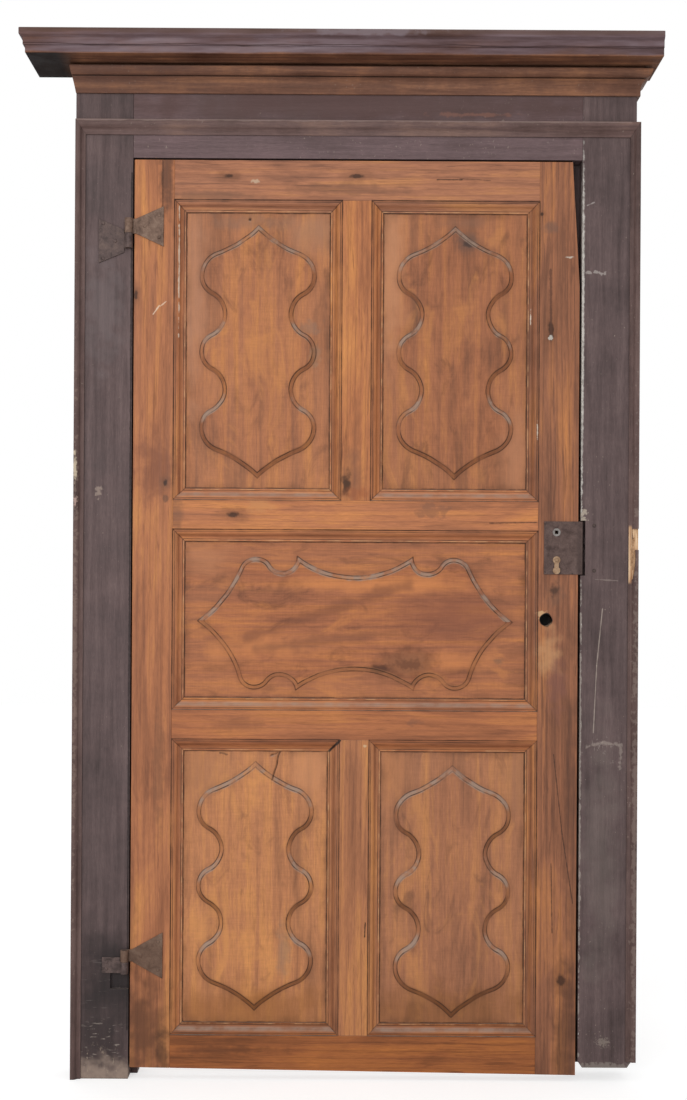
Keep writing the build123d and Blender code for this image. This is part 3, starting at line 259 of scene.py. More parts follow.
def dress(name, finish, width=0.0, *settling):
    """A finish on a CAD node, settled first where that is asked for, and a worn arris on its edges."""
    if settling:
        settle(finish, *settling)
    node = nodes[name]
    node.data.materials.clear()
    node.data.materials.append(finish.material)
    if width:
        joined = node.modifiers.new("joined", "WELD")
        joined.merge_threshold = 0.00002
        worn = node.modifiers.new("worn_arris", "BEVEL")
        worn.width = width
        worn.segments = 2
        worn.limit_method = "ANGLE"
        worn.angle_limit = math.radians(40)


post_tones = ((60, 48, 47), (92, 76, 75), (114, 96, 94))
left_paint = old_paint("left_post_paint", "Z", post_tones, 0.1)
wear(
    left_paint,
    (mark, (-485, 200), (65, 85), (26, 22, 23), 0.8, 0.7, 0.8, 20.0),
    (mark, (-495, 340), (45, 190), (58, 48, 47), 0.15, 0.7, 0.8, 20.0),
    (mark, (-512, 80), (70, 60), (46, 39, 39), 0.7, 0.7, 0.8, 25.0),
    (mark, (-512, 0), (100, 30), (160, 140, 126), 0.8, 1.0, 0.9, 45.0),
    (specks, (-512, 75), (60, 50), (158, 146, 136), 0.7, (0.25, 1.0, 1.0)),
    (specks, (-512, 30), (70, 40), (164, 146, 128), 0.7, (1.0, 1.0, 0.4)),
    (specks, (-515, 190), (50, 60), (116, 106, 102), 0.5, (0.15, 1.0, 1.0)),
    (mark, (-520, 1185), (5, 13), (160, 142, 130), 0.6, 1.4, 0.3, 120.0),
    (mark, (-512, 1550), (30, 100), (116, 104, 104), 0.4, 1.0, 0.7, 30.0),
    # Painted shade: a dark line down the post's inner arris, for the gap beside the leaf.
    (scratch, (-456.5, 100), (-456.5, 1830), 1.6, (30, 24, 23), 0.8, 0.6),
)
dress("left_post", left_paint, 0.0012, (34, 26, 25), (134, 120, 114))

right_paint = old_paint("right_post_paint", "Z", post_tones, 0.6, 0.7)
wear(
    right_paint,
    (mark, (455.5, 1520), (3, 290), (206, 200, 192), 0.9, 0.55, 0.5, 120.0),
    (mark, (455.2, 600), (2, 420), (178, 168, 158), 0.5, 1.4, 0.3, 60.0),
    (mark, (500, 450), (30, 200), (120, 108, 102), 0.35, 1.2, 0.8, 18.0),
    (mark, (460, 1145), (9, 12), (186, 172, 156), 0.7, 1.8, 0.3, 140.0),
    (scratch, (499, 955), (488, 840), 0.8, (178, 164, 152), 0.6, 1.0, 0.8, 50.0),
    (scratch, (488, 840), (482, 705), 0.8, (178, 164, 152), 0.6, 1.0, 0.8, 50.0),
    (scratch, (484, 1015), (530, 1012), 1, (150, 136, 128), 0.45, 1.6, 0.5, 90.0),
    (scratch, (462, 1636), (502, 1632), 2.2, (176, 166, 160), 0.55, 2.8, 0.4, 130.0),
    (scratch, (464, 1770), (478, 1776), 1.2, (160, 150, 146), 0.7, 1.2),
    (scratch, (468, 676), (500, 685), 2.2, (170, 156, 146), 0.4, 2.6, 0.9, 120.0),
    (scratch, (500, 685), (540, 681), 2.2, (170, 156, 146), 0.4, 2.6, 0.9, 120.0),
    (scratch, (538, 678), (536, 630), 2.2, (170, 156, 146), 0.4, 2.6, 0.9, 120.0),
    (specks, (500, 668), (50, 35), (160, 148, 140), 0.5, (1.0, 1.0, 0.5)),
    (mark, (505, 80), (10, 8), (160, 148, 136), 0.4, 1.8, 0.6, 230.0),
    (mark, (505, 30), (60, 7), (140, 130, 122), 0.6, 1.2, 0.4, 120.0),
)
dress("right_post", right_paint, 0.0012, (34, 26, 25), (134, 120, 114))

# Plaster: crumbs of old white plaster left along the right post's inner arris.
# They are set along the arris by rule, thicker above the lock than below it.


def stand(name, data):
    """A new object in the scene."""
    made = bpy.data.objects.new(name, data)
    bpy.context.scene.collection.objects.link(made)
    return made


def scatter(name, shape, inputs, material):
    """Like bits along a line, each moved, turned and sized at random, made one plain mesh."""
    tree = bpy.data.node_groups.new(name, "GeometryNodeTree")
    kinds = {**dict.fromkeys(inputs, "Vector"), "Count": "Int", "Seed": "Int", "Finish": "Material"}
    sockets = {}
    for label, kind in kinds.items():
        sockets[label] = tree.interface.new_socket(label, in_out="INPUT", socket_type="NodeSocket" + kind)
    tree.interface.new_socket("Geometry", in_out="OUTPUT", socket_type="NodeSocketGeometry")
    given = tree.nodes.new("NodeGroupInput").outputs

    def grow(kind, inputs, **settings):
        return add(tree, kind, inputs, "GeometryNode", **settings).outputs[0]

    def chance(low, high, step):
        picked = {0: low, 1: high, "Seed": reckon("ADD", given["Seed"], float(step))}
        return add(tree, "RandomValue", picked, "FunctionNode", data_type="FLOAT_VECTOR").outputs[0]

    def either_way(value, step):
        return chance(vector("MULTIPLY", value, (-1.0, -1.0, -1.0)), value, step)

    run = {"Count": given["Count"], "Start Location": given["Start"], "Offset": given["End"]}
    row = grow("MeshLine", run, mode="END_POINTS")
    points = grow("SetPosition", {"Geometry": row, "Offset": either_way(given["Spread"], 1)})
    shapes = {
        "crumb": ("MeshIcoSphere", {"Radius": 1.0, "Subdivisions": 1}),
        "splinter": ("MeshCone", {"Vertices": 5, "Radius Top": 0.08, "Radius Bottom": 1.0, "Depth": 1.0}),
    }
    turned = {"Rotation": either_way(given["Tilt"], 2), "Scale": chance(given["Least"], given["Most"], 3)}
    placed = grow("InstanceOnPoints", {"Points": points, "Instance": grow(*shapes[shape]), **turned})
    real = grow("RealizeInstances", {0: placed})
    finished = grow("SetMaterial", {"Geometry": real, "Material": given["Finish"]})
    add(tree, "Output", {0: finished}, "NodeGroup")

    seedling = stand(name + "_seedling", bpy.data.meshes.new(name + "_seedling"))
    modifier = seedling.modifiers.new("scatter", "NODES")
    modifier.node_group = tree
    for label, value in {**inputs, "Finish": material}.items():
        modifier[sockets[label].identifier] = value
    shown = seedling.evaluated_get(bpy.context.evaluated_depsgraph_get())
    mesh = bpy.data.meshes.new_from_object(shown)
    mesh.name = name
    bpy.data.objects.remove(seedling)
    mesh.shade_smooth()
    made = stand(name, mesh)
    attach(made, "frame")


plaster = begin_finish("old_plaster")
plaster_tones = ((150, 142, 134), (196, 190, 182), (216, 212, 206))
plaster.colour = tone_scale(cloud(plaster.place, 90.0), plaster_tones)
settle(plaster, (96, 84, 76), (206, 200, 194))
put(plaster.shader["Roughness"], 0.95)
crumb = {"Spread": (0.0010, 0.0006, 0.004), "Tilt": (0.3, 0.3, 0.5), "Least": (0.0004, 0.0003, 0.0012)}
arris = (0.4556, -0.0800)
upper_run = {"Start": (*arris, 1.14), "End": (*arris, 1.84), "Most": (0.0012, 0.0010, 0.007)}
scatter("upper_plaster", "crumb", {**crumb, **upper_run, "Count": 190, "Seed": 4}, plaster.material)
lower_run = {"Start": (*arris, 0.10), "End": (*arris, 1.00), "Most": (0.0007, 0.0006, 0.003)}
scatter("lower_plaster", "crumb", {**crumb, **lower_run, "Count": 70, "Seed": 9}, plaster.material)

# Head: a wide softwood board tenoned between the posts, painted like them.
# Its upper part, above the planted moulding, is the frieze, redder where the paint is thin.
head_paint = old_paint("head_paint", "X", ((80, 62, 61), (104, 85, 86), (122, 100, 101)), 0.3)
wear(
    head_paint,
    (mark, (0, 1970), (520, 32), (86, 64, 60), 0.75, 0.5, 0.6, 25.0),
    (mark, (240, 1952), (60, 4), (132, 92, 78), 0.6, 1.2, 0.5, 60.0),
    (scratch, (-50, 1858), (0, 1858), 2, (176, 128, 84), 0.7, 1.5),
    (scratch, (-432, 1858), (-396, 1858), 2, (176, 128, 84), 0.7, 1.5),
)
dress("head", head_paint, 0.001, (40, 28, 26), (134, 118, 112))

# Planted mouldings: thin ogee strips of softwood, mitred at the corners and nailed on.
# The right one has broken away beside the lock and shows raw, pale, splintered wood there.
strip_tones = ((62, 46, 43), (96, 76, 72), (118, 97, 92))
left_strip = old_paint("left_moulding_paint", "Z", strip_tones, 0.45)
wear(
    left_strip,
    (mark, (-567, 1235), (3.5, 30), (196, 180, 156), 0.9, 0.9, 0.3, 120.0),
    (mark, (-566, 1165), (4, 8), (178, 150, 140), 0.9, 1.2, 0.3, 120.0),
    (mark, (-566, 900), (4, 300), (142, 122, 110), 0.35, 2.4, 0.3, 120.0),
)
dress("left_post_moulding", left_strip, 0.0006, (30, 22, 21), (136, 120, 114), 0.75)

right_strip = old_paint("right_moulding_paint", "Z", strip_tones, 0.95)
mark(right_strip, (565, 500), (4, 400), (150, 134, 124), 0.3, 2.6, 0.3, 110.0)
across, back, upward = parts(right_strip.place)
break_foot, break_top, break_side, break_depth = 1.004, 1.126, 0.5500, -0.0845
raw = times(between(back, break_depth, break_depth + 0.001), between(upward, break_foot, break_foot + 0.008))
raw = times(raw, between(upward, break_top, break_top - 0.008))
raw = times(raw, between(across, break_side, break_side + 0.0015))
raw_fibres = cloud(right_strip.place, 260.0, (1, 1, 0.06), 2.0, 4.0, 0.6)
raw_wood = tone_scale(raw_fibres, ((150, 104, 72), (204, 164, 126), (228, 196, 160)))
right_strip.colour = over(raw, right_strip.colour, raw_wood)
dress("right_post_moulding", right_strip, 0.0003, (30, 22, 21), (136, 120, 114), 0.65)

raw_splinter = begin_finish("raw_splinter_wood")
splinter_fibres = cloud(raw_splinter.place, 300.0, (1, 1, 0.05))
raw_splinter.colour = tone_scale(splinter_fibres, ((168, 120, 84), (212, 170, 130), (230, 200, 166)))
settle(raw_splinter, (120, 84, 58), (222, 196, 164))
put(raw_splinter.shader["Roughness"], 0.8)
splinter_run = {"Start": (0.5560, -0.0834, 1.040), "End": (0.5600, -0.0834, 1.098), "Tilt": (0.04, 0.05, 1.5)}
least, largest = (0.0004, 0.0003, 0.010), (0.0010, 0.0007, 0.026)
splinter_size = {"Spread": (0.0030, 0.0004, 0.006), "Least": least, "Most": largest, "Count": 34, "Seed": 21}
scatter("break_splinters", "splinter", {**splinter_run, **splinter_size}, raw_splinter.material)

head_strip = old_paint("head_moulding_paint", "X", ((70, 50, 45), (104, 82, 78), (134, 106, 94)), 0.7)
strip_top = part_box("head_moulding")[1].z * 1000 - 1
scratch(head_strip, (-570, strip_top), (550, strip_top), 2, (160, 140, 132), 0.32, 1.2, 0.5, 30.0)
dress("head_moulding", head_strip, 0.0006, (32, 22, 20), (156, 130, 118), 0.75, 0.6)

# Cornice: a run bed moulding with a mitred return on the right, under a thick crown board that
# lies on the posts; brown-stained softwood, greyed by paint on the front, sawn short on the right.


def line(distance, at, width, share=1.0):
    """A thin line where a distance has one value."""
    off = reckon("ABSOLUTE", reckon("SUBTRACT", distance, at))
    return between(off, width, width * 0.25, 0.0, share)


def underside(finish):
    """One on the cornice's lowest faces that look down, and nought elsewhere."""
    facing = parts(finish.normal)[2]
    height = parts(finish.place)[2]
    return times(between(facing, -0.6, -0.85), between(height, 2.052, 2.048))


paint_foot, quirk_height, bare_edge = 2.045, 2.0632, 2.082


def cornice_stain(name, along, shift):
    """Brown stain, rubbed to orange wood low down, and grey-purple paint left above."""
    finish = old_paint(name, along, ((74, 47, 36), (116, 80, 63), (166, 116, 84)), shift, 0.6)
    place = finish.place
    height = parts(place)[2]
    edge = reckon("SUBTRACT", cloud(place, 26.0, (0.3, 1, 1), shift), 0.5)
    height = reckon("ADD", height, times(edge, 0.012))
    left_over = cloud(place, 30.0, (0.12, 1, 1), shift + 1.0, 6.0, 0.65)
    grey = tone_scale(left_over, ((74, 54, 50), (107, 88, 91), (132, 116, 121)))
    kept = between(cloud(place, 22.0, (0.25, 1, 1), shift + 2.0), 0.30, 0.56, 0.72, 1.0)
    kept = times(between(height, paint_foot, paint_foot + 0.006), kept)
    kept = times(kept, reckon("SUBTRACT", 1.0, underside(finish)))
    finish.colour = over(kept, finish.colour, grey)
    tint(finish, between(height, bare_edge, bare_edge + 0.004, 0.0, 0.5), (98, 77, 68))
    tint(finish, line(height, quirk_height, 0.0018, 0.7), (58, 42, 40))
    return finish


def shade_underside(finish):
    """Painted shadow on the overhang's underside at the left, beyond the bed moulding, made near black."""
    across = parts(finish.place)[0]
    dark = times(underside(finish), between(across, -0.545, -0.605, 0.0, 0.96))
    tint(finish, dark, (20, 14, 14))
    put(finish.shader["Specular IOR Level"], 0.04)


bed_stain = cornice_stain("bed_moulding_stain", "X", 1.3)
mark(bed_stain, (-460, 2020), (160, 60), (80, 56, 50), 0.45, 0.6, 0.8, 20.0)
dress("bed_moulding", bed_stain, 0.0006, (44, 27, 21), (150, 116, 92), 0.7)

bed_return_stain = cornice_stain("bed_return_stain", "Y", 1.6)
dress("bed_right_return", bed_return_stain, 0.0006, (44, 27, 21), (150, 116, 92), 0.7)

crown_stain = cornice_stain("crown_stain", "X", 1.9)
mark(crown_stain, (20, 2088), (100, 6), (134, 122, 128), 0.5, 1.2, 0.5, 40.0)
shade_underside(crown_stain)
dress("crown", crown_stain, 0.001, (46, 29, 23), (142, 126, 120), 0.5)

crown_return_stain = cornice_stain("crown_return_stain", "Y", 2.2)
shade_underside(crown_return_stain)
dress("crown_left_return", crown_return_stain, 0.001, (30, 22, 20), (142, 126, 120), 0.6)

# Stiles: the leaf's two uprights in stripped orange-brown softwood, grain upright.
# Each has an ogee stuck on its inner edge; dirt lies in the moulding's quirks all round the panels.
panel_places = ("upper_left", "upper_right", "middle", "lower_left", "lower_right")
panel_tongue = 0.008
moulding_width = 0.024


def half_sight(node):
    """Half the width and half the height of what is seen of a panel."""
    low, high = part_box(node)
    return (high.x - low.x) / 2 - panel_tongue, (high.z - low.z) / 2 - panel_tongue


def sight_measure():
    """How far a point lies outside the nearest panel's sight, and how near it is to a mitre."""
    group = bpy.data.node_groups.new("sight_measure", "ShaderNodeTree")
    group.interface.new_socket("Place", in_out="INPUT", socket_type="NodeSocketVector")
    for label in ("Outside", "Mitre"):
        group.interface.new_socket(label, in_out="OUTPUT", socket_type="NodeSocketFloat")
    place = group.nodes.new("NodeGroupInput").outputs[0]
    outside = mitre = None
    for name in (f"{side}_panel" for side in panel_places):
        low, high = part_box(name)
        middle = ((low.x + high.x) / 2, 0.0, (low.z + high.z) / 2)
        half_width, half_height = half_sight(name)
        away = vector("ABSOLUTE", vector("SUBTRACT", place, middle))
        sideways, _, upright = parts(vector("SUBTRACT", away, (half_width, 0.0, half_height)))
        far = most(sideways, upright)
        near = reckon("MINIMUM", sideways, upright)
        slant = reckon("ABSOLUTE", reckon("SUBTRACT", sideways, upright))
        beyond = most(reckon("SUBTRACT", far, moulding_width), 0.0)
        within = most(times(near, -1.0), 0.0)
        slant = reckon("ADD", slant, times(reckon("ADD", beyond, within), 50.0))
        outside = far if outside is None else reckon("MINIMUM", outside, far)
        mitre = slant if mitre is None else reckon("MINIMUM", mitre, slant)
    add(group, "Output", {0: outside, 1: mitre}, "NodeGroup")
    return group


measure = sight_measure()


def bare_wood(name, along, tones, shift, lines, figure):
    """Stripped softwood: broad tone, streaks, growth rings and fine fibres."""
    finish = begin_finish(name)
    tree, place = finish.tree, finish.place
    drawn = tuple(0.045 if axis == along else 1.0 for axis in "XYZ")
    slow = tuple(0.22 if axis == along else 1.0 for axis in "XYZ")
    broad = cloud(place, 12.0, slow, shift, 5.0, 0.62, 0.9)
    streak = cloud(place, 52.0, drawn, shift, 7.0, 0.66, 0.5)
    fibre = cloud(place, 620.0, tuple(max(0.08, size) for size in drawn), shift, 3.0, 0.7)
    late = between(cloud(place, 150.0, drawn, shift + 1.0, 4.0, 0.6, 1.2), 0.54, 0.70, 0.0, lines)
    bent = add(tree, "Mapping", {"Vector": place, "Scale": drawn, "Location": (shift, shift, shift)})
    waves = {"Vector": bent.outputs[0], "Scale": 24.0, "Distortion": 9.0, "Detail": 4.0, "Detail Scale": 0.9}
    across = "X" if along == "Z" else "Z"
    ring = add(tree, "TexWave", waves, wave_type="BANDS", bands_direction=across, wave_profile="SAW")
    mixed = reckon("ADD", times(streak, 0.5), times(broad, 0.5))
    finish.colour = tone_scale(mixed, tones, 0.33, 0.67)
    tint(finish, late, tones[0])
    tint(finish, between(ring.outputs["Fac"], 0.62, 1.0, 0.0, figure), tones[0])
    vary(finish, between(fibre, 0.2, 0.8, 0.86, 1.14))
    put(finish.shader["Roughness"], between(streak, 0.3, 0.7, 0.5, 0.68))
    roughen(finish, fibre, streak)
    return finish


def sight_of(finish):
    """The two measures from the panels' sights, for one finish."""
    return add(finish.tree, "Group", {0: finish.place}, node_tree=measure).outputs


def moulded_lines(finish, dirt_and_shade=(58, 36, 26), rubbed=(214, 166, 120)):
    """Dirt in the moulding's quirks, painted shade on its slopes facing left and down, and a pale lip, part
    rubbed and part painted highlight.
    """
    outside, mitre = sight_of(finish)
    uneven = between(cloud(finish.place, 22.0), 0.3, 0.65, 0.5, 1.0)
    worn = between(cloud(finish.place, 40.0, shift=5.0), 0.42, 0.66, 0.0, 0.6)
    # Painted highlight: a pale line along the moulding's lip, partly rubbed wood.
    tint(finish, times(line(outside, 0.0026, 0.0014), worn), rubbed)
    strength = line(mitre, 0.0, 0.0020, 0.7)
    quirks = ((0.0, 0.0024, 0.9), (0.0048, 0.0016, 0.75), (0.0125, 0.0012, 0.3))
    for at, width, share in (*quirks, (0.0203, 0.0016, 0.7), (0.0242, 0.0020, 0.9)):
        strength = most(strength, line(outside, at, width, share))
    # Painted shade: the moulding's slopes that face left and those that face down are darkened.
    sideways, _, upright = parts(finish.normal)
    shaded = between(sideways, -0.15, -0.65, 0.0, 0.28)
    shaded = most(shaded, between(upright, -0.2, -0.7, 0.0, 0.16))
    near = between(outside, moulding_width + 0.001, moulding_width - 0.001)
    strength = most(strength, times(shaded, near))
    strength = times(strength, fronted(finish.place))
    tint(finish, times(strength, uneven), dirt_and_shade)


def knot(finish, centre, half, ring=(104, 66, 44), core=(58, 36, 26)):
    """A knot: a soft darker ring with a small dark core."""
    mark(finish, centre, (half[0] * 2.4, half[1] * 2.4), ring, 0.5, 0.6, 0.8, 45.0)
    mark(finish, centre, half, core, 0.85, 0.5, 0.4, 110.0)


def fit_member(name, along, tones, shift, *traces, lines=0.6, figure=0.3):
    """A leaf member in stripped wood, with its wear, its moulding's dirt and painted shade, and dust with
    painted top light.
    """
    finish = bare_wood(name + "_wood", along, tones, shift, lines, figure)
    wear(finish, *traces)
    moulded_lines(finish)
    dress(name, finish, 0.0008, (44, 27, 19), (170, 150, 136), 0.4, 0.65)


fit_member(
    "hinge_stile", "Z", ((118, 73, 52), (175, 113, 77), (206, 140, 83)), 0.2,
    (scratch, (-412, 1545), (-400, 1562), 1, (222, 196, 170), 0.8, 1.3, 0.6, 90.0),
    (scratch, (-398, 1561), (-386, 1571), 1, (222, 196, 170), 0.7, 1.6, 0.6, 90.0),
    (mark, (-360.5, 1648), (1.2, 100), (224, 208, 188), 0.75, 1.5, 0.4, 70.0),
    (knot, (-447, 1585), (3.5, 10)),
    (mark, (-385, 1830), (12, 60), (92, 62, 48), 0.75, 0.8, 0.6),
    (scratch, (-394, 1855), (-394, 1760), 1.2, (60, 38, 28), 0.7, 0.5),
    (mark, (-405, 1235), (30, 55), (122, 76, 58), 0.6, 0.9, 0.7, 50.0),
    (knot, (-385, 1205), (4, 6), (100, 72, 58), (52, 40, 36)),
    (mark, (-385, 1172), (6, 8), (88, 66, 56), 0.6, 0.8, 0.5, 90.0),
    (mark, (-425, 100), (40, 100), (78, 50, 36), 0.75, 0.7, 0.8, 30.0),
    (mark, (-385, 45), (12, 50), (50, 34, 26), 0.6, 0.9, 0.8),
    (mark, (-447, 330), (8, 120), (66, 44, 34), 0.2, 1.0, 0.6),
    (mark, (-395, 620), (10, 100), (126, 84, 60), 0.5, 0.9, 0.7),
    lines=0.5,
)

fit_member(
    "lock_stile", "Z", ((92, 60, 46), (153, 100, 72), (196, 129, 77)), 1.1,
    (knot, (392, 1515), (5, 20)),
    (scratch, (390, 1640), (392, 1500), 2.2, (84, 54, 42), 0.7, 0.8),
    (mark, (391, 1503), (4, 6), (196, 190, 180), 0.8, 1.2, 0.3, 150.0),
    (mark, (428, 1665), (6, 2), (206, 196, 182), 0.7, 1.5, 0.4, 150.0),
    (mark, (351.5, 1546), (1.2, 12), (226, 212, 194), 0.8, 1.2, 0.4, 120.0),
    (mark, (365.5, 1315), (1.2, 12), (226, 212, 194), 0.8, 1.2, 0.4, 120.0),
    (knot, (372, 1752), (3, 3)),
    (mark, (390, 1725), (14, 10), (112, 84, 72), 0.6, 0.9, 0.6, 60.0),
    (mark, (418, 1690), (4, 60), (110, 72, 54), 0.5, 0.8, 0.6),
    (knot, (420, 205), (8, 11)),
    (mark, (402, 985), (16, 20), (104, 76, 62), 0.5, 0.8, 0.7),
    (mark, (402, 992), (7, 10), (52, 38, 32), 0.7, 1.1, 0.7, 90.0),
    (mark, (377, 942), (10, 8), (206, 166, 124), 0.8, 1.2, 0.3, 120.0),
    # Painted shade: the hole in the lock stile is made near black in its front part.
    (mark, (385, 932), (13.2, 13.2), (10, 8, 7), 1.0, 0.16, 0.08, 90.0, -41.5),
    (mark, (390, 865), (18, 40), (194, 146, 104), 0.6, 0.9, 0.7, 40.0),
    (mark, (408, 800), (16, 50), (128, 84, 74), 0.5, 0.9, 0.7, 50.0),
    (mark, (443, 350), (12, 400), (84, 56, 44), 0.4, 1.0, 0.7, 30.0),
    (mark, (430, 100), (20, 110), (64, 42, 32), 0.55, 0.9, 0.7, 30.0),
    (scratch, (402, 660), (420, 500), 1, (58, 38, 30), 0.75, 0.7),
    (scratch, (420, 500), (442, 360), 1, (58, 38, 30), 0.75, 0.7),
    (scratch, (398, 440), (401, 300), 1, (58, 38, 30), 0.75, 0.7),
    figure=0.4,
)

# Rails: four cross members between the stiles, grain level, with long front shoulders and
# mouldings stuck on the solid and mitred at the corners.
fit_member(
    "top_rail", "X", ((110, 73, 57), (172, 115, 85), (201, 138, 87)), 2.1,
    (knot, (-262, 1825), (8, 4)),
    (knot, (-3, 1826), (12, 4)),
    (mark, (-205, 1815), (10, 4), (196, 172, 146), 0.7, 1.0, 0.4, 110.0),
    (mark, (-30, 1800), (90, 10), (118, 82, 62), 0.5, 0.9, 0.7, 40.0),
    (mark, (-300, 1785), (80, 8), (112, 82, 66), 0.5, 0.9, 0.7, 40.0),
    (scratch, (160, 1820), (210, 1820), 1.1, (52, 36, 28), 0.8, 0.7),
    (scratch, (205, 1822), (268, 1819), 0.8, (52, 36, 28), 0.7, 0.7),
)

fit_member(
    "cross_rail", "X", ((129, 82, 58), (183, 117, 79), (214, 142, 82)), 2.9,
    (knot, (-246, 1141), (12, 5)),
    (mark, (-200, 1160), (30, 10), (196, 136, 88), 0.6, 1.0, 0.5, 60.0),
    (mark, (155, 1150), (30, 12), (122, 84, 66), 0.5, 1.4, 0.5, 70.0),
    (scratch, (270, 1127), (365, 1129), 1, (58, 38, 28), 0.7, 0.8),
    (mark, (-362, 1140), (10, 30), (112, 78, 60), 0.5, 0.8, 0.6),
    lines=0.5,
)

fit_member(
    "lock_rail", "X", ((118, 72, 50), (173, 108, 71), (200, 130, 75)), 3.7,
    (mark, (120, 724), (12, 6), (122, 82, 64), 0.5, 1.2, 0.5, 70.0),
    (mark, (-240, 720), (50, 12), (134, 84, 58), 0.5, 0.9, 0.7, 40.0),
    lines=0.5,
)

fit_member(
    "bottom_rail", "X", ((96, 55, 31), (153, 91, 52), (186, 115, 59)), 4.4,
    (mark, (-250, 60), (90, 8), (92, 54, 34), 0.6, 0.8, 0.7, 40.0),
)

# Muntins: short uprights tenoned between the rails, parting the panels above and below.
# The lower one's upper left mitre stands open.
fit_member(
    "upper_muntin", "Z", ((115, 70, 48), (179, 114, 74), (211, 142, 83)), 5.2,
    (mark, (-10, 1220), (20, 50), (122, 82, 62), 0.5, 0.9, 0.7, 40.0),
    (mark, (-20, 1205), (8, 22), (48, 34, 28), 0.85, 0.9, 0.5, 60.0),
    (mark, (0, 1185), (20, 12), (150, 84, 52), 0.5, 0.9, 0.6, 60.0),
)

fit_member(
    "lower_muntin", "Z", ((113, 71, 52), (174, 115, 79), (206, 141, 83)), 5.9,
    (scratch, (-52, 664), (-30, 686), 2.6, (18, 12, 9), 0.95, 0.4),
    (scratch, (22.5, 290), (23.5, 318), 1.2, (44, 28, 20), 0.9, 0.5),
    (mark, (20, 675), (4, 3), (206, 176, 138), 0.8, 0.8, 0.4),
)

# Panels: thin softwood boards held loose in the grooves, each with a cartouche carved by hand.
# The ground is cut back so that the cartouche stands proud, with a sloped edge and a fine quirk.
panel_ground = 0.0054
slope_width = 0.0072
slope_rise = 0.0042
quirk_width = 0.0012
grid_step = 0.002


def arc(start, end, heading, count=20):
    """Points on the arc that leaves start along a heading and meets end, and its last heading."""
    start, end = np.array(start, float), np.array(end, float)
    heading = np.array(heading, float) / np.hypot(*heading)
    chord = end - start
    side = np.array([-heading[1], heading[0]])
    radius = (chord @ chord) / (2 * (chord @ side))
    middle = start + side * radius
    first = math.atan2(*(start - middle)[::-1])
    last = math.atan2(*(end - middle)[::-1])
    turn = 1 if radius > 0 else -1
    sweep = (turn * (last - first)) % (2 * math.pi)
    angles = first + turn * np.linspace(0, sweep, count)
    points = middle + abs(radius) * np.c_[np.cos(angles), np.sin(angles)]
    return points, turn * np.array([-math.sin(angles[-1]), math.cos(angles[-1])])


def arc_through(start, through, end):
    """The arc from start to end by way of a third point."""
    chords = np.array([through - start, end - start])
    across, upward = np.linalg.solve(2 * chords, (chords**2).sum(axis=1))
    turn = 1 if np.linalg.det(chords) > 0 else -1
    return arc(start, end, turn * np.array([upward, -across]))


def all_round(upper, lower):
    """A closed outline from its upper and lower right quarters, each drawn inwards."""
    return np.vstack([upper, (upper * [-1, 1])[::-1], lower * [-1, -1], (lower * [1, -1])[::-1]])


def tall_outline(half_width, half_height):
    """Three lobes and two necks a side, with an ogee to a point above and below."""
    lobe = 0.811 * half_width
    turn = math.radians(70)
    pitch = (half_height - 0.45 * lobe) / (1 + 0.347 * math.sin(turn))
    neck = lobe - 0.307 * pitch
    waist = (lobe + neck) / 2
    radius = 0.347 * pitch
    shoulder = (lobe - radius * (1 - math.cos(turn)), pitch + radius * math.sin(turn))
    quarter = np.vstack(
        [
            arc((lobe, 0), (waist, pitch / 4), (0, 1))[0],
            arc((neck, pitch / 2), (waist, pitch / 4), (0, -1))[0][::-1],
            arc((neck, pitch / 2), (waist, pitch * 3 / 4), (0, 1))[0],
            arc((lobe, pitch), (waist, pitch * 3 / 4), (0, -1))[0][::-1],
            arc((lobe, pitch), shoulder, (0, 1))[0],
            arc(shoulder, (0, half_height), (-math.sin(turn), math.cos(turn)))[0],
        ]
    )
    return all_round(quarter, quarter)


def wide_quarter(size, waist, cusp, scoop, scoop_end, shoulder, fall):
    """A hollow waist, cusp, scoop, round shoulder and hollow fall to the end, as shares of a size."""
    hollow, _ = arc((0, waist * size[1]), size * cusp, (1, 0))
    dip, _ = arc_through(size * cusp, size * scoop, size * scoop_end)
    lobe, leaving = arc_through(size * scoop_end, size * shoulder, size * fall)
    end, _ = arc(size * fall, size * (0.927, 0.0), leaving)
    return np.vstack([hollow, dip, lobe, end])[::-1]


def wide_outline(half_width, half_height):
    """The wide cartouche, whose lower scoops are shallower than its upper ones."""
    size = np.array([half_width, half_height])
    upper = (0.341, 0.838), (0.431, 0.636), (0.500, 0.728), (0.602, 0.818), (0.674, 0.690)
    lower = (0.347, 0.885), (0.444, 0.705), (0.511, 0.785), (0.602, 0.870), (0.682, 0.722)
    return all_round(wide_quarter(size, 0.586, *upper), wide_quarter(size, 0.632, *lower))


def depth_inside(points, outline):
    """How far each point is inside a closed outline; outside counts as negative."""
    runs = np.roll(outline, -1, axis=0) - outline
    xs, zs = points.T
    nearest = np.full(len(points), np.inf)
    crossings = np.zeros(len(points), int)
    for (x, z), (dx, dz) in zip(outline, runs):
        length = dx * dx + dz * dz
        if length < 1e-14:
            continue
        along = np.clip(((xs - x) * dx + (zs - z) * dz) / length, 0, 1)
        nearest = np.minimum(nearest, (xs - x - along * dx) ** 2 + (zs - z - along * dz) ** 2)
        if dz != 0:
            level = (zs >= min(z, z + dz)) & (zs < max(z, z + dz))
            crossings += level & (xs < x + (zs - z) / dz * dx)
    return np.where(crossings % 2 == 1, 1.0, -1.0) * np.sqrt(nearest)


def ripple(points, sizes, seed):
    """Smooth hand-made unevenness over the face, from a few slow waves."""
    chooser = np.random.default_rng(seed)
    total = np.zeros(len(points))
    for size in sizes:
        for _ in range(5):
            heading = chooser.uniform(0, 2 * math.pi)
            phase = chooser.uniform(0, 2 * math.pi)
            wave = points[:, 0] * math.cos(heading) + points[:, 1] * math.sin(heading)
            total += np.sin(wave * 2 * math.pi / size + phase) / (5 * len(sizes))
    return total


